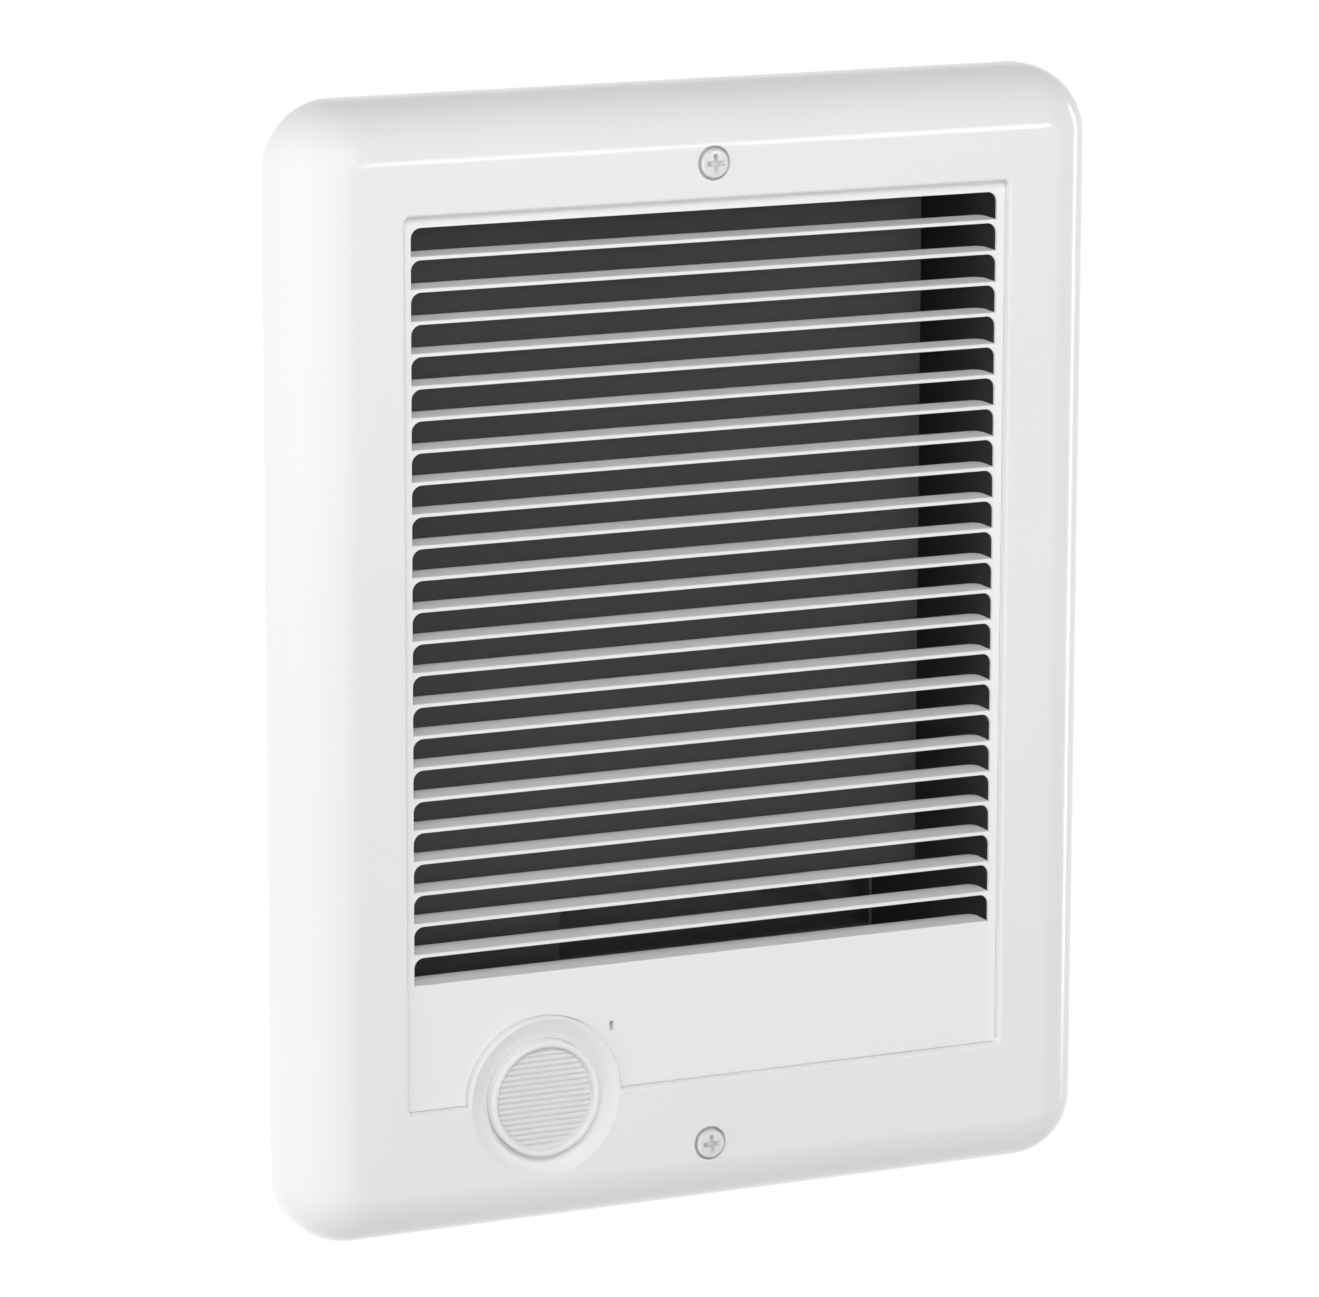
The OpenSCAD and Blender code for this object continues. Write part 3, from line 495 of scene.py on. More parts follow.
def rib(x, z, half, face, half_w=0.72, height=0.62):
    """A ridge across the knob's face with steep flanks and a round crest; its ends slope down."""
    section = [(half_w, 0), (0.32, 0.72), (0.16, 0.95), (0, 1.0), (-0.16, 0.95), (-0.32, 0.72), (-half_w, 0)]
    sunk, slope = 0.2, 0.5
    rings = []
    for end, scale in ((-half, 0.3), (-half + slope, 1.0), (half - slope, 1.0), (half, 0.3)):
        ring = [(x + end, -face + sunk, z - half_w), (x + end, -face + sunk, z + half_w)]
        ring += [(x + end, -face - height * scale * rise, z + over) for over, rise in section]
        rings.append(ring)
    return loft("rib", rings)


# ---------------------------------------------------------------- screws

def screw_profile(base):
    """(radius, y) from the tip, over the thread and the neck, to the domed head on its seat at base."""
    root_r, thread_r, pitch, turns, thread_end = 1.55, 2.0, 0.72, 20, 6.4
    profile = [(0, 8.0), (0.6, 8.0), (1.5, thread_end)]
    for i in range(turns):
        y = thread_end - i * pitch
        profile += [(root_r, y - 0.1), (thread_r, y - 0.36), (root_r, y - 0.62)]
    side, shoulder, crown = 0.85, 0.6, 0.2
    rise = SCREW_HEAD_H - side - crown
    profile += [(1.6, -9), (1.6, -base + 0.02), (SCREW_HEAD_R - 0.1, -base),
                (SCREW_HEAD_R, -base - 0.1), (SCREW_HEAD_R, -base - side)]
    for i in range(1, 7):
        a = math.radians(90 * i / 6)
        profile.append((SCREW_HEAD_R - shoulder * (1 - math.cos(a)), -base - side - rise * math.sin(a)))
    for i in range(1, 5):
        t = i / 5
        drop = crown * (1 - t) ** 2
        profile.append(((SCREW_HEAD_R - shoulder) * (1 - t), -base - SCREW_HEAD_H + drop))
    profile.append((0, -base - SCREW_HEAD_H))
    return profile


def build_grille_screw(name, side):
    """Pan head screw with a cross recess and a real thread form."""
    base = FRAME_D - SEAT_D
    screw = revolve(name, screw_profile(base), (0, 0, side * SCREW_Z), segments=64)
    arm, half_w, top, bottom = 2.45, 0.56, base + SCREW_HEAD_H + 0.3, base + SCREW_HEAD_H - 1.8
    for a in (math.radians(2), math.radians(92)):
        rings = []
        for forward, scale in ((bottom, 0.7), (top, 1.06)):
            reach = arm * scale
            corners = ((-reach, -half_w), (reach, -half_w), (reach, half_w), (-reach, half_w))
            rings.append([(px * math.cos(a) - pz * math.sin(a), -forward,
                           side * SCREW_Z + px * math.sin(a) + pz * math.cos(a)) for px, pz in corners])
        cut(screw, loft("cross", rings))
    screw.name = name
    return smooth(screw, 38)


# ---------------------------------------------------------------- wall can

def across(name, radius, centre, axis, half_length, segments):
    """A round cutter along an axis, centred on a point."""
    return revolve(name, rod(radius, -half_length, half_length), centre, axis, segments)


def knockout_ring(centre, axis):
    """The slit round a knockout, broken by two bridges that hold its disc."""
    inner, depth = KNOCKOUT_R - KNOCKOUT_GAP, 2
    profile = [(inner, -depth), (KNOCKOUT_R, -depth), (KNOCKOUT_R, depth), (inner, depth)]
    ring = ring_revolve("slit", profile, centre, axis, 72)
    reach, half = KNOCKOUT_R + 2, 1.5
    low, high = [-reach] * 3, [reach] * 3
    bridge = 0 if axis != "x" else 1
    low[bridge], high[bridge] = -half, half
    return cut(ring, block("bridge", Vector(centre) + Vector(low), Vector(centre) + Vector(high)))


def can_shell(name, inset, front, bend):
    """One skin of the can: a rounded outline from the front back to a rounded bend."""
    half_w, half_h, back = CAN_W / 2 - inset, CAN_H / 2 - inset, CAN_D - inset
    rings = [at_depth(round_rect(half_w, half_h, bend, steps=5), -front)]
    for i in range(7):
        a = math.radians(90 * i / 6)
        shrink = bend * (1 - math.cos(a))
        outline = round_rect(half_w - shrink, half_h - shrink, max(bend - shrink, 0.05), steps=5)
        rings.append(at_depth(outline, -(back - bend + bend * math.sin(a))))
    return loft(name, rings)


def stadium(cx, cz, half_length, r, steps=10):
    """Outline of a slot with round ends, long side along X."""
    return arc(cx + half_length, cz, r, -90, 90, steps) + arc(cx - half_length, cz, r, 90, 270, steps)


def screw_tab(side):
    """A tongue turned in at the can's front edge, for a grille screw."""
    outline = [(-15, -0.5)] + arc(-13, 1.5, 2, 180, 180, 1) + arc(-8, 10, 3, 180, 90, 5)
    outline += arc(8, 10, 3, 90, 0, 5) + [(13, 2), (15, -0.5)]
    placed = [(x, side * (CAN_H / 2 - CAN_T - z)) for x, z in outline]
    return loft("tab", [at_depth(placed, -y) for y in (0, CAN_T)])


def corner_flap(side, end):
    """A flap folded from the can's top or bottom on to its side."""
    outline = [(3, 0.9)] + arc(8, 9, 4, 180, 90, 5) + arc(87, 9, 4, 90, 0, 5) + [(92, 0.9)]
    return loft("flap", [[(side * (CAN_W / 2 + out), y, end * (CAN_H / 2 - z)) for y, z in outline]
                         for out in (-0.3, FLAP_PROUD)])


def weld_spot(side, y, z):
    """Cutter for a spot weld's shallow dimple in a flap."""
    profile = [(0, -0.22), (1.4, -0.2), (2.3, 0.05), (2.3, 1), (0, 1)]
    if side < 0:
        profile = [(r, -s) for r, s in reversed(profile)]
    return revolve("weld_spot", profile, (side * (CAN_W / 2 + FLAP_PROUD), y, z), "x", 24)


def press_rib(can, z):
    """A stiffening rib pressed into the can's back: a ridge inside and a groove outside."""
    x, half_length, inner = 8, 62, CAN_D - CAN_T
    ridge = ((0.9, inner - 0.9), (0.0, inner - 0.1), (0.0, inner + 0.2))
    groove = ((1.0, CAN_D - 0.95), (0.15, CAN_D - 0.1), (-0.15, CAN_D + 0.5))
    weld(can, loft("rib", [at_depth(stadium(x, z, half_length - g, 4.4 - g), -y) for g, y in ridge]))
    cut(can, loft("groove", [at_depth(stadium(x, z, half_length - g, 3.6 - g), -y) for g, y in groove]))


def drill_stud_holes(can):
    for side in (-1, 1):
        for y in STUD_Y:
            for z in (-STUD_Z, STUD_Z):
                cut(can, across("stud_hole", STUD_R, (side * CAN_W / 2, y, z), "x", 4, 32))


def drill_openings(can):
    """The open cable hole, the knockouts, and the holes for the ground screw and the deck's screws."""
    half_w, half_h = CAN_W / 2, CAN_H / 2
    cut(can, across("open_knockout", KNOCKOUT_R, (-60, 60, -half_h), "z", 3, 72))
    for centre, axis in (((-20, 60, -half_h), "z"), ((-60, 60, half_h), "z"), ((-half_w, 44, -66), "x"),
                         ((-60, CAN_D, -112), "y")):
        cut(can, knockout_ring(centre, axis))
    cut(can, across("ground_hole", 2.1, (-half_w, 60, -110), "x", 4, 24))
    for z in (0, 100):
        cut(can, across("deck_hole", 2.0, (-half_w, 12, z), "x", 4, 24))
    for x in (-75, 55):
        cut(can, across("ear_hole", 2.0, (x, 12, half_h), "z", 4, 24))


def build_wall_can():
    """Folded galvanised box: bends, flaps with spot welds, knockouts, pressed ribs and two screw tabs."""
    weld_places = (18, 40, 62, 84)
    can = can_shell("can_shell", 0, 0, 1.8)
    cut(can, can_shell("can_hollow", CAN_T, -1, 0.9))
    for side in (-1, 1):
        weld(can, screw_tab(side))
        cut(can, across("tab_hole", 2.3, (0, 0, side * SCREW_Z), "y", 3, 32))
        for end in (-1, 1):
            weld(can, corner_flap(side, end))
            for y in weld_places:
                cut(can, weld_spot(side, y, end * (CAN_H / 2 - 7)))
    drill_stud_holes(can)
    for z in (-72, 0, 72):
        press_rib(can, z)
    drill_openings(can)
    can.name = "can_shell"
    return smooth(can, 30)


# ---------------------------------------------------------------- heater internals

def tube(name, points, radius, sides=8):
    """A round closed tube along points, turned as little as possible from one point to the next."""
    points = [Vector(p) for p in points]
    rings = []
    side = None
    for i, point in enumerate(points):
        ahead = (points[min(i + 1, len(points) - 1)] - points[max(i - 1, 0)]).normalized()
        if side is None:
            side = ahead.orthogonal().normalized()
        side = (side - ahead * side.dot(ahead)).normalized()
        up = ahead.cross(side)
        rings.append([tuple(point + (side * math.cos(a) + up * math.sin(a)) * radius)
                      for a in (math.tau * k / sides for k in range(sides))])
    return loft(name, rings)


def build_heating_coils():
    """One resistance wire wound into six coils that run from terminal to terminal."""
    left, right, radius, wire, turns, steps = -29.0, 59.0, 4.15, 0.35, 34, 14
    rows = [(48, -12), (65, -12), (82, -12), (82, -30), (65, -30), (48, -30)]    # (y, z) of each coil
    total = turns * steps + steps // 2
    path = [(left - 0.4, 48, -12), (left, 48, -11)]
    for i, (y, z) in enumerate(rows):
        start, stop, spin = (left, right, 1) if i % 2 == 0 else (right, left, -1)
        for k in range(total + 1):
            a = math.radians(90 + spin * 360 * k / steps)
            path.append((start + (stop - start) * (0.012 + 0.976 * (k / total)), y + radius * math.cos(a),
                         z + radius * math.sin(a)))
        if i + 1 < len(rows):
            y2, z2 = rows[i + 1]
            bulge = 2.0 if stop == right else -1.6
            last, following = Vector(path[-1]), Vector((stop, y2, z2 + radius))
            for t in (0.2, 0.4, 0.6, 0.8):
                place = last.lerp(following, t)
                place.x += bulge * math.sin(math.pi * t)
                path.append(tuple(place))
    path += [(left, 48, -31), (left - 0.4, 48, -30)]
    return smooth(tube("element_coils", path, wire, 6), 60)


def build_coil_winding():
    """Motor winding: enamelled wire in even layers round the bobbin."""
    x, z, near, far, pitch = -62.0, 104.0, 28.9, 60.1, 0.82
    half_w, half_h, corner = 17.7, 14.7, 5.0
    core_half_w, core_half_h = 11.35, 8.35
    rings = []
    count = int((far - near) / pitch)
    for i in range(count):
        for k, sink in ((0.04, 0.32), (0.25, 0.08), (0.5, 0.0), (0.75, 0.08), (0.96, 0.32)):
            y = near + (i + k) * (far - near) / count
            rings.append(at_depth(round_rect(half_w - sink, half_h - sink, corner - sink, x, z, 8), -y))
    winding = loft("motor_winding", rings)
    cut(winding, block("bobbin_space", (x - core_half_w, near - 1, z - core_half_h),
                       (x + core_half_w, far + 1, z + core_half_h)))
    winding.name = "motor_winding"
    return smooth(winding, 50)


def build_wire_connectors():
    """Two twist-on connectors, tapered and grooved for grip."""
    made = []
    profile = [(0, 0.3), (6.0, 0.3), (6.4, 0.7), (6.4, 2.6), (5.9, 3.1), (3.5, 18.6), (3.0, 19.6), (2.2, 20),
               (0, 20)]
    groove_count = 12
    for place, lean in (((-84, 53, -109), -68), ((-84, 75, -101), 170)):
        body = revolve("nut", profile, (0, 0, 0), "z", 48)
        grooves = []
        for k in range(groove_count):
            a = math.tau * k / groove_count
            grooves.append(tube("groove", [(7.1 * math.cos(a), 7.1 * math.sin(a), 2.4),
                                           (4.0 * math.cos(a), 4.0 * math.sin(a), 20.6)], 0.75, 8))
        cut(body, join("grooves", grooves))
        turn = Matrix.Translation(Vector(place) * MM) @ Matrix.Rotation(math.radians(lean), 4, "X")
        body.data.transform(turn)
        made.append(body)
    return smooth(join("twist_connectors", made), 35)


# ---------------------------------------------------------------- materials

def principled(name, color, roughness, metallic=0.0):
    material = bpy.data.materials.new(name)
    material.use_nodes = True
    shader = material.node_tree.nodes["Principled BSDF"]
    shader.inputs["Base Color"].default_value = (*color, 1.0)
    shader.inputs["Roughness"].default_value = roughness
    shader.inputs["Metallic"].default_value = metallic
    return material


def node(material, kind, **settings):
    made = material.node_tree.nodes.new(kind)
    for key, value in settings.items():
        if key in made.inputs:
            made.inputs[key].default_value = value
        else:
            setattr(made, key, value)
    return made


def link(material, source, target):
    material.node_tree.links.new(source, target)


def shader_input(material, name):
    return material.node_tree.nodes["Principled BSDF"].inputs[name]


def object_place(material):
    """The surface point in the object's own space, in metres."""
    return node(material, "ShaderNodeTexCoord").outputs["Object"]


def ramp(material, value, start, stop, low=0.0, high=1.0, **settings):
    """A number that goes from low to high as value goes from start to stop."""
    made = node(material, "ShaderNodeMapRange", **settings)
    for name, number in (("From Min", start), ("From Max", stop), ("To Min", low), ("To Max", high)):
        made.inputs[name].default_value = number
    link(material, value, made.inputs["Value"])
    return made.outputs["Result"]


def blend_color(material, factor, first, second):
    """Base colour that goes from first to second with factor; each is a colour or a colour socket."""
    mix = node(material, "ShaderNodeMix", data_type="RGBA")
    link(material, factor, mix.inputs["Factor"])
    for name, color in (("A", first), ("B", second)):
        if isinstance(color, bpy.types.NodeSocket):
            link(material, color, mix.inputs[name])
        else:
            mix.inputs[name].default_value = (*color, 1.0)
    link(material, mix.outputs["Result"], shader_input(material, "Base Color"))
    return mix.outputs["Result"]


def noise(material, scale, detail=3.0, rough=0.5):
    """Noise in metres: scale is the number of features in a metre."""
    made = node(material, "ShaderNodeTexNoise", Scale=scale, Detail=detail, Roughness=rough)
    link(material, object_place(material), made.inputs["Vector"])
    return made.outputs["Fac"]


def tint(material, fac, low, high):
    """Base colour that runs from low to high over the middle of fac's range."""
    return blend_color(material, ramp(material, fac, 0.3, 0.7), low, high)


def vary_roughness(material, fac, low, high):
    """Roughness that runs from low to high over the middle of fac's range."""
    link(material, ramp(material, fac, 0.3, 0.7, low, high), shader_input(material, "Roughness"))


def bump(material, height, distance):
    """Relief from a height, distance in metres."""
    made = node(material, "ShaderNodeBump", Strength=1.0, Distance=distance)
    link(material, height, made.inputs["Height"])
    link(material, made.outputs["Normal"], shader_input(material, "Normal"))


def scaled(color, factor):
    return tuple(min(c * factor, 1.0) for c in color)


def coated(name, color, roughness, grain=900.0, relief=0.00001, spread=0.012):
    """Paint or moulded plastic: faint colour drift, faint gloss drift and a fine skin."""
    material = principled(name, color, roughness)
    tint(material, noise(material, 14.0, 2.0), scaled(color, 1 - spread), scaled(color, 1 + spread))
    vary_roughness(material, noise(material, 60.0), roughness * 0.9, roughness * 1.12)
    bump(material, noise(material, grain, 2.0), relief)
    return material


def bare_metal(name, color, roughness, metallic=1.0, spread=0.06):
    """Plated or bare metal with fine handling marks."""
    material = principled(name, color, roughness, metallic=metallic)
    tint(material, noise(material, 90.0, 5.0), scaled(color, 1 - spread), scaled(color, 1 + spread))
    vary_roughness(material, noise(material, 300.0, 4.0, 0.6), roughness * 0.8, roughness * 1.25)
    bump(material, noise(material, 2500.0, 3.0), 0.000006)
    return material


def knob_plastic(name, rim, face):
    """White moulded rim round a ribbed face that is painted greyer, as painted shade of the set-back ribbed
    disc; the two are split at a radius from the knob's axis.
    """
    material = coated(name, rim, 0.32, grain=600, relief=0.000003)
    rim_color = shader_input(material, "Base Color").links[0].from_socket
    # painted shade: the ribbed face gets a greyer colour than the rim, for the shade on the set-back disc
    face_shade_color = tint(material, noise(material, 25.0), scaled(face, 0.98), scaled(face, 1.02))
    offset = node(material, "ShaderNodeVectorMath", operation="SUBTRACT")
    offset.inputs[1].default_value = (KNOB_X * MM, 0, KNOB_Z * MM)
    link(material, object_place(material), offset.inputs[0])
    flat = node(material, "ShaderNodeVectorMath", operation="MULTIPLY")
    flat.inputs[1].default_value = (1, 0, 1)
    link(material, offset.outputs[0], flat.inputs[0])
    radius = node(material, "ShaderNodeVectorMath", operation="LENGTH")
    link(material, flat.outputs[0], radius.inputs[0])
    rim_share = ramp(material, radius.outputs["Value"], (KNOB_R - 2.3) * MM, (KNOB_R - 1.8) * MM)
    blend_color(material, rim_share, face_shade_color, rim_color)
    return material


def depth_shaded_paint(name, front, back, start, stop, roughness=0.5):
    """Colour that changes with depth into the wall: the front colour gives way to the back colour from start
    to stop, in mm into the wall.

    The dark front colour is painted shade of the cavity behind the louvres, and on the deck it is also the
    deck's own dark paint. On the deck, the paler back colour is painted light on the side sheets deep in the
    can."""
    material = coated(name, front, roughness, grain=2200, relief=0.00003, spread=0.12)
    front_shade_color = shader_input(material, "Base Color").links[0].from_socket
    back_color = tint(material, noise(material, 40.0), scaled(back, 0.95), scaled(back, 1.05))
    split = node(material, "ShaderNodeSeparateXYZ")
    link(material, object_place(material), split.inputs["Vector"])
    fade = ramp(material, split.outputs["Y"], start * MM, stop * MM, interpolation_type="SMOOTHSTEP")
    blend_color(material, fade, front_shade_color, back_color)
    return material


def galvanised(name, color):
    """Hot dipped sheet: spangle of mixed size, each crystal with its own tone and gloss."""
    material = principled(name, color, 0.3, metallic=0.95)
    place = object_place(material)
    warp = node(material, "ShaderNodeTexNoise", Scale=90.0, Detail=3.0)
    link(material, place, warp.inputs["Vector"])
    bend = node(material, "ShaderNodeVectorMath", operation="MULTIPLY_ADD")
    bend.inputs[1].default_value = (0.005, 0.005, 0.005)
    link(material, warp.outputs["Color"], bend.inputs[0])
    link(material, place, bend.inputs[2])
    tones = []
    for scale in (130.0, 290.0):
        cells = node(material, "ShaderNodeTexVoronoi", Scale=scale)
        link(material, bend.outputs[0], cells.inputs["Vector"])
        grey = node(material, "ShaderNodeRGBToBW")
        link(material, cells.outputs["Color"], grey.inputs["Color"])
        tones.append(grey.outputs["Val"])
    coarse = node(material, "ShaderNodeMath", operation="MULTIPLY")
    coarse.inputs[1].default_value = 0.65
    link(material, tones[0], coarse.inputs[0])
    both = node(material, "ShaderNodeMath", operation="MULTIPLY_ADD")
    both.inputs[1].default_value = 0.35
    link(material, tones[1], both.inputs[0])
    link(material, coarse.outputs[0], both.inputs[2])
    tint(material, both.outputs[0], scaled(color, 0.93), scaled(color, 1.06))
    vary_roughness(material, both.outputs[0], 0.38, 0.52)
    bump(material, noise(material, 700.0, 3.0), 0.000008)
    return material


def laminated(name, color):
    """Stacked sheets, seen as fine lines across X."""
    material = principled(name, color, 0.45, metallic=1.0)
    lines = node(material, "ShaderNodeTexWave", Scale=320.0, Distortion=0.6, Detail=2.0)
    link(material, object_place(material), lines.inputs["Vector"])
    tint(material, lines.outputs["Fac"], scaled(color, 0.6), scaled(color, 1.2))
    vary_roughness(material, noise(material, 300.0), 0.38, 0.55)
    bump(material, lines.outputs["Fac"], 0.00004)
    return material


MATERIALS = {
    "frame_white": coated("frame_white", (0.88, 0.88, 0.88), 0.18, grain=420, relief=0.000003),
    "panel_white": coated("panel_white", (0.91, 0.91, 0.91), 0.32, grain=520, relief=0.000003),
    # painted shade: the knob's ribbed face is greyer than its white rim
    "knob_white": knob_plastic("knob_white", (0.88, 0.88, 0.88), (0.78, 0.78, 0.78)),
    "screw_steel": bare_metal("screw_steel", (0.9, 0.9, 0.9), 0.4, metallic=0.35),
    "zinc_steel": bare_metal("zinc_steel", (0.62, 0.63, 0.64), 0.34),
    "galvanised": galvanised("galvanised", (0.50, 0.52, 0.54)),
    # painted shade and the deck's own dark paint: deck_dark's near-black front; painted light: its paler
    # back colour, which brightens the side sheets deep in the can
    "deck_dark": depth_shaded_paint("deck_dark", (0.055, 0.055, 0.058), (0.16, 0.16, 0.165), 5, 6),
    # painted shade: outlet_grey is dark at the outlet's mouth and turns to the coat's own pale grey further
    # in
    "outlet_grey": depth_shaded_paint("outlet_grey", (0.07, 0.07, 0.073), (0.66, 0.66, 0.67), 9, 44, 0.7),
    "spring_steel": bare_metal("spring_steel", (0.42, 0.43, 0.45), 0.3),
    "ground_green": coated("ground_green", (0.05, 0.28, 0.12), 0.35),
    "lamination": laminated("lamination", (0.22, 0.23, 0.25)),
    "bobbin_plastic": coated("bobbin_plastic", (0.76, 0.70, 0.56), 0.45),
    "copper": bare_metal("copper", (0.72, 0.33, 0.16), 0.3),
    "bronze": bare_metal("bronze", (0.58, 0.40, 0.20), 0.45),
    "brass": bare_metal("brass", (0.72, 0.55, 0.26), 0.3),
    "ground_steel": bare_metal("ground_steel", (0.66, 0.67, 0.69), 0.18),
    "wheel_aluminium": bare_metal("wheel_aluminium", (0.66, 0.67, 0.69), 0.38),
    "mica": coated("mica", (0.60, 0.52, 0.40), 0.55, relief=0.00003, spread=0.15),
    "resistance_wire": bare_metal("resistance_wire", (0.28, 0.26, 0.25), 0.5),
    "steatite": coated("steatite", (0.82, 0.79, 0.72), 0.4),
    "phenolic": coated("phenolic", (0.03, 0.03, 0.032), 0.4),
    "phenolic_brown": coated("phenolic_brown", (0.20, 0.10, 0.055), 0.4),
    "button_red": coated("button_red", (0.62, 0.04, 0.03), 0.3),
    "capillary_copper": bare_metal("capillary_copper", (0.66, 0.33, 0.17), 0.3),
    "connector_tan": coated("connector_tan", (0.66, 0.50, 0.26), 0.42),
    "lead_black": coated("lead_black", (0.025, 0.025, 0.027), 0.45),
    "lead_red": coated("lead_red", (0.48, 0.035, 0.03), 0.45),
    "lead_green": coated("lead_green", (0.03, 0.25, 0.08), 0.45),
}


def dress(obj, slot):
    obj.data.materials.clear()
    obj.data.materials.append(MATERIALS[slot])
    return obj


def add_piece(obj, body, slot, *replaced):
    dress(obj, slot)
    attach(obj, body)
    if replaced:
        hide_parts(*replaced)
    return obj


# ---------------------------------------------------------------- stage and light

def one_sided_glow(name, strength):
    """A plain white glow on the front of a face; the back is clear."""
    material = bpy.data.materials.new(name)
    material.use_nodes = True
    material.node_tree.nodes.clear()
    facing = node(material, "ShaderNodeNewGeometry")
    glow = node(material, "ShaderNodeEmission", Color=(1, 1, 1, 1), Strength=strength)
    clear = node(material, "ShaderNodeBsdfTransparent")
    mix = node(material, "ShaderNodeMixShader")
    out = node(material, "ShaderNodeOutputMaterial")
    link(material, facing.outputs["Backfacing"], mix.inputs["Fac"])
    link(material, glow.outputs["Emission"], mix.inputs[1])
    link(material, clear.outputs["BSDF"], mix.inputs[2])
    link(material, mix.outputs["Shader"], out.inputs["Surface"])
    return material


def add_backdrop(name, verts, faces, material):
    """A stage sheet that the camera sees and that takes no part in the lighting."""
    mesh = new_mesh(name, verts, faces)
    mesh.materials.append(material)
    sheet = add_object(name, mesh)
    sheet.visible_diffuse = False
    sheet.visible_glossy = False
    sheet.visible_transmission = False
    sheet.visible_shadow = False


def build_wall(white):
    """A white wall with an opening for the can. It shows from the front only."""
    reach, half_w, half_h = 3000.0, 106.0, 140.0
    verts = [(x, 0, z) for z in (-reach, -half_h, half_h, reach) for x in (-reach, -half_w, half_w, reach)]
    faces = [(r * 4 + c, r * 4 + c + 1, r * 4 + c + 5, r * 4 + c + 4)
             for r in range(3) for c in range(3) if (r, c) != (1, 1)]
    add_backdrop("wall", verts, faces, white)


def build_floor(white):
    reach, level = 12000.0, -700.0
    corners = ((-reach, -reach), (reach, -reach), (reach, reach), (-reach, reach))
    add_backdrop("floor", [(x, y, level) for x, y in corners], [(0, 1, 2, 3)], white)


def build_painted_cavity_shade(dark):
    """Near-black sheets with a faint glow, painted shade for the unlit wall cavity outside the can's screw
    holes and cable hole.

    Each face shows only from inside the can."""
    gap = 1.5
    side_x, under_z = CAN_W / 2 + gap, -CAN_H / 2 - gap
    side = [(15, -110), (15, 110), (80, 110), (80, -110)]
    under = [(-80, 40), (-40, 40), (-40, 80), (-80, 80)]
    blinds = {"cavity_right": [(side_x, y, z) for y, z in side],
              "cavity_left": [(-side_x, y, z) for y, z in reversed(side)],
              "cavity_below": [(x, y, under_z) for x, y in under]}
    for name, corners in blinds.items():
        add_backdrop(name, corners, [(0, 1, 2, 3)], dark)


def build_world(level=1.125, poles=0.87, left=0.21, low=0.416, front_dip=0.69):
    """Soft studio surround.

    level is its strength at the horizon. It loses poles overhead and below, gains left at the left
    and loses as much at the right, gains low below and loses as much overhead, and loses front_dip
    straight ahead."""
    world = bpy.data.worlds.new("studio")
    bpy.context.scene.world = world
    world.use_nodes = True
    tree = world.node_tree

    def math_node(operation, first, second, third=None):
        made = tree.nodes.new("ShaderNodeMath")
        made.operation = operation
        for socket, value in zip(made.inputs, (first, second, third)):
            if isinstance(value, bpy.types.NodeSocket):
                tree.links.new(value, socket)
            elif value is not None:
                socket.default_value = value
        return made.outputs[0]

    place = tree.nodes.new("ShaderNodeTexCoord")
    split = tree.nodes.new("ShaderNodeSeparateXYZ")
    tree.links.new(place.outputs["Generated"], split.inputs["Vector"])
    x, y, z = (split.outputs[k] for k in "XYZ")
    total = math_node("MULTIPLY_ADD", math_node("MULTIPLY", z, z), -poles, level)
    total = math_node("MULTIPLY_ADD", x, -left, total)
    total = math_node("MULTIPLY_ADD", z, -low, total)
    total = math_node("MULTIPLY_ADD", math_node("MINIMUM", y, 0.0), front_dip, total)
    tree.links.new(math_node("MAXIMUM", total, 0.0), tree.nodes["Background"].inputs["Strength"])
    tree.nodes["Background"].inputs["Color"].default_value = (1, 1, 1, 1)


def toward(azimuth, elevation, distance):
    """A place seen from the object: azimuth from straight ahead towards +X, in degrees."""
    a, e = math.radians(azimuth), math.radians(elevation)
    level = distance * math.cos(e)
    return Vector((level * math.sin(a), -level * math.cos(a), distance * math.sin(e)))


def softbox(name, azimuth, elevation, distance, size, share, target=(0, 0, 0)):
    """An area light that adds share to what a surface facing it gets.

    Angles are in degrees, and distance, size and target in metres."""
    place = toward(azimuth, elevation, distance)
    aim = Vector(target) - place
    data = bpy.data.lights.new(name, "AREA")
    data.shape = "RECTANGLE"
    data.size, data.size_y = size
    data.energy = share * (math.pi * aim.length) ** 2
    light = add_object(name, data)
    light.location = place
    light.rotation_euler = aim.to_track_quat("-Z", "Y").to_euler()
    return light


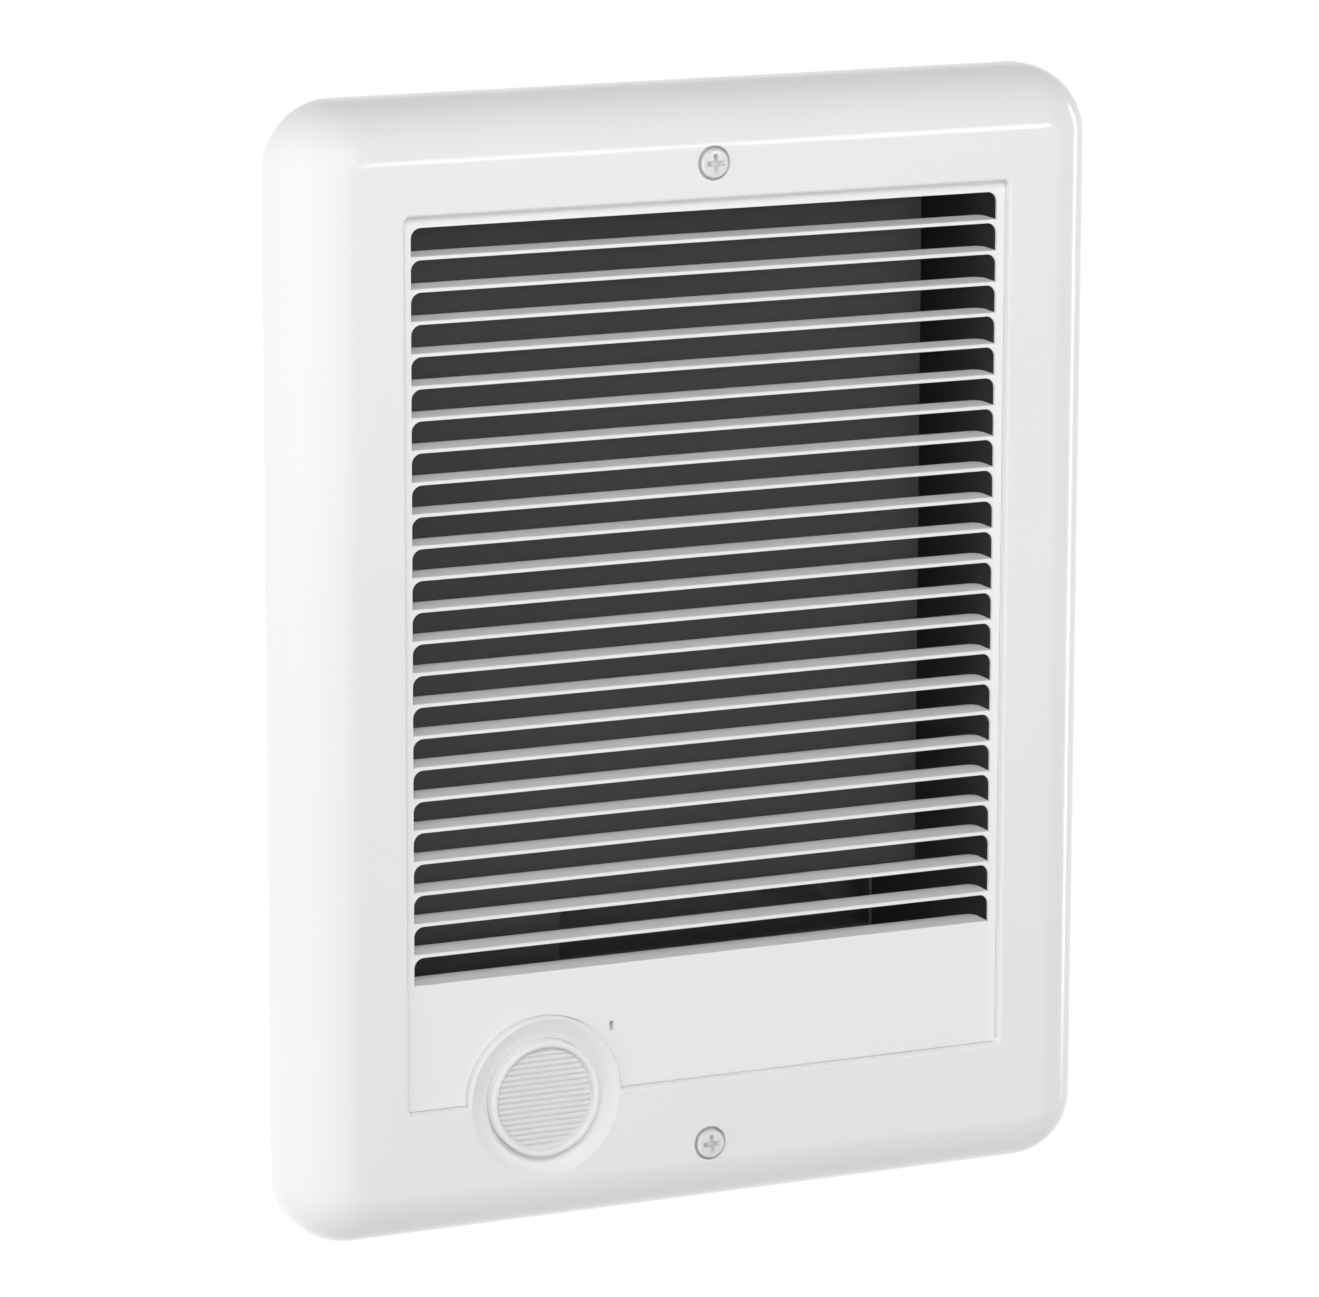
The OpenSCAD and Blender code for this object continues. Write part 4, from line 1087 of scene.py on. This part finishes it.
def build_lights():
    key = softbox("key_high", -15, 38, 2.2, (1.6, 1.0), 0.585)
    key.visible_glossy = False
    softbox("strip_top_right", 29.6, 12, 3.0, (0.2, 0.35), 0.042, (0, 0, 0.14))
    softbox("strip_top_left", 22.9, 12, 3.0, (0.06, 0.35), 0.025, (0, 0, 0.14))
    softbox("strip_side", 100, 2, 2.5, (0.3, 1.7), 0.13, (0.1, 0, 0))


def build_camera():
    """The photograph's view, in metres and degrees: from ahead, to the left and a little above."""
    place = (-0.76398, -1.59886, 0.36353)
    yaw, pitch, roll = 25.42, 11.633, -0.141
    data = bpy.data.cameras.new("camera")
    data.sensor_width = 36.0
    data.lens = 183.55
    data.clip_end = 50
    camera = add_object("camera", data)
    turn = Matrix.Rotation(math.radians(-yaw), 4, "Z")
    turn = turn @ Matrix.Rotation(math.radians(90 - pitch), 4, "X")
    turn = turn @ Matrix.Rotation(math.radians(-roll), 4, "Z")
    camera.matrix_world = Matrix.Translation(place) @ turn
    bpy.context.scene.camera = camera


# ---------------------------------------------------------------- the model

slots = {part["node"]: part["material_slot"] for part in frame["record"]["subparts"]}
for name, obj in frame["nodes"].items():
    dress(obj, slots[name])

add_piece(build_grille_frame(), "housing", "frame_white", "grille_frame")
add_piece(build_louvre_panel(), "housing", "panel_white", "louvre_panel")
add_piece(build_knob(), "knob", "knob_white", "knob")
screws = join("grille_screw_pair", [build_grille_screw("screw", side) for side in (1, -1)])
add_piece(smooth(screws, 38), "housing", "screw_steel", "grille_screws")

add_piece(build_wall_can(), "housing", "galvanised", "wall_can")
add_piece(build_heating_coils(), "housing", "resistance_wire", "heating_coils")
add_piece(build_coil_winding(), "housing", "copper", "coil_winding")
add_piece(build_wire_connectors(), "housing", "connector_tan", "wire_connectors")

wall_white = one_sided_glow("wall_white", 1.0)
build_wall(wall_white)
build_floor(wall_white)
# painted shade: faintly glowing near-black sheets behind the can's holes
build_painted_cavity_shade(one_sided_glow("cavity_painted_shade", 0.012))
build_world()
build_lights()
build_camera()
bpy.context.scene.view_settings.view_transform = "Standard"
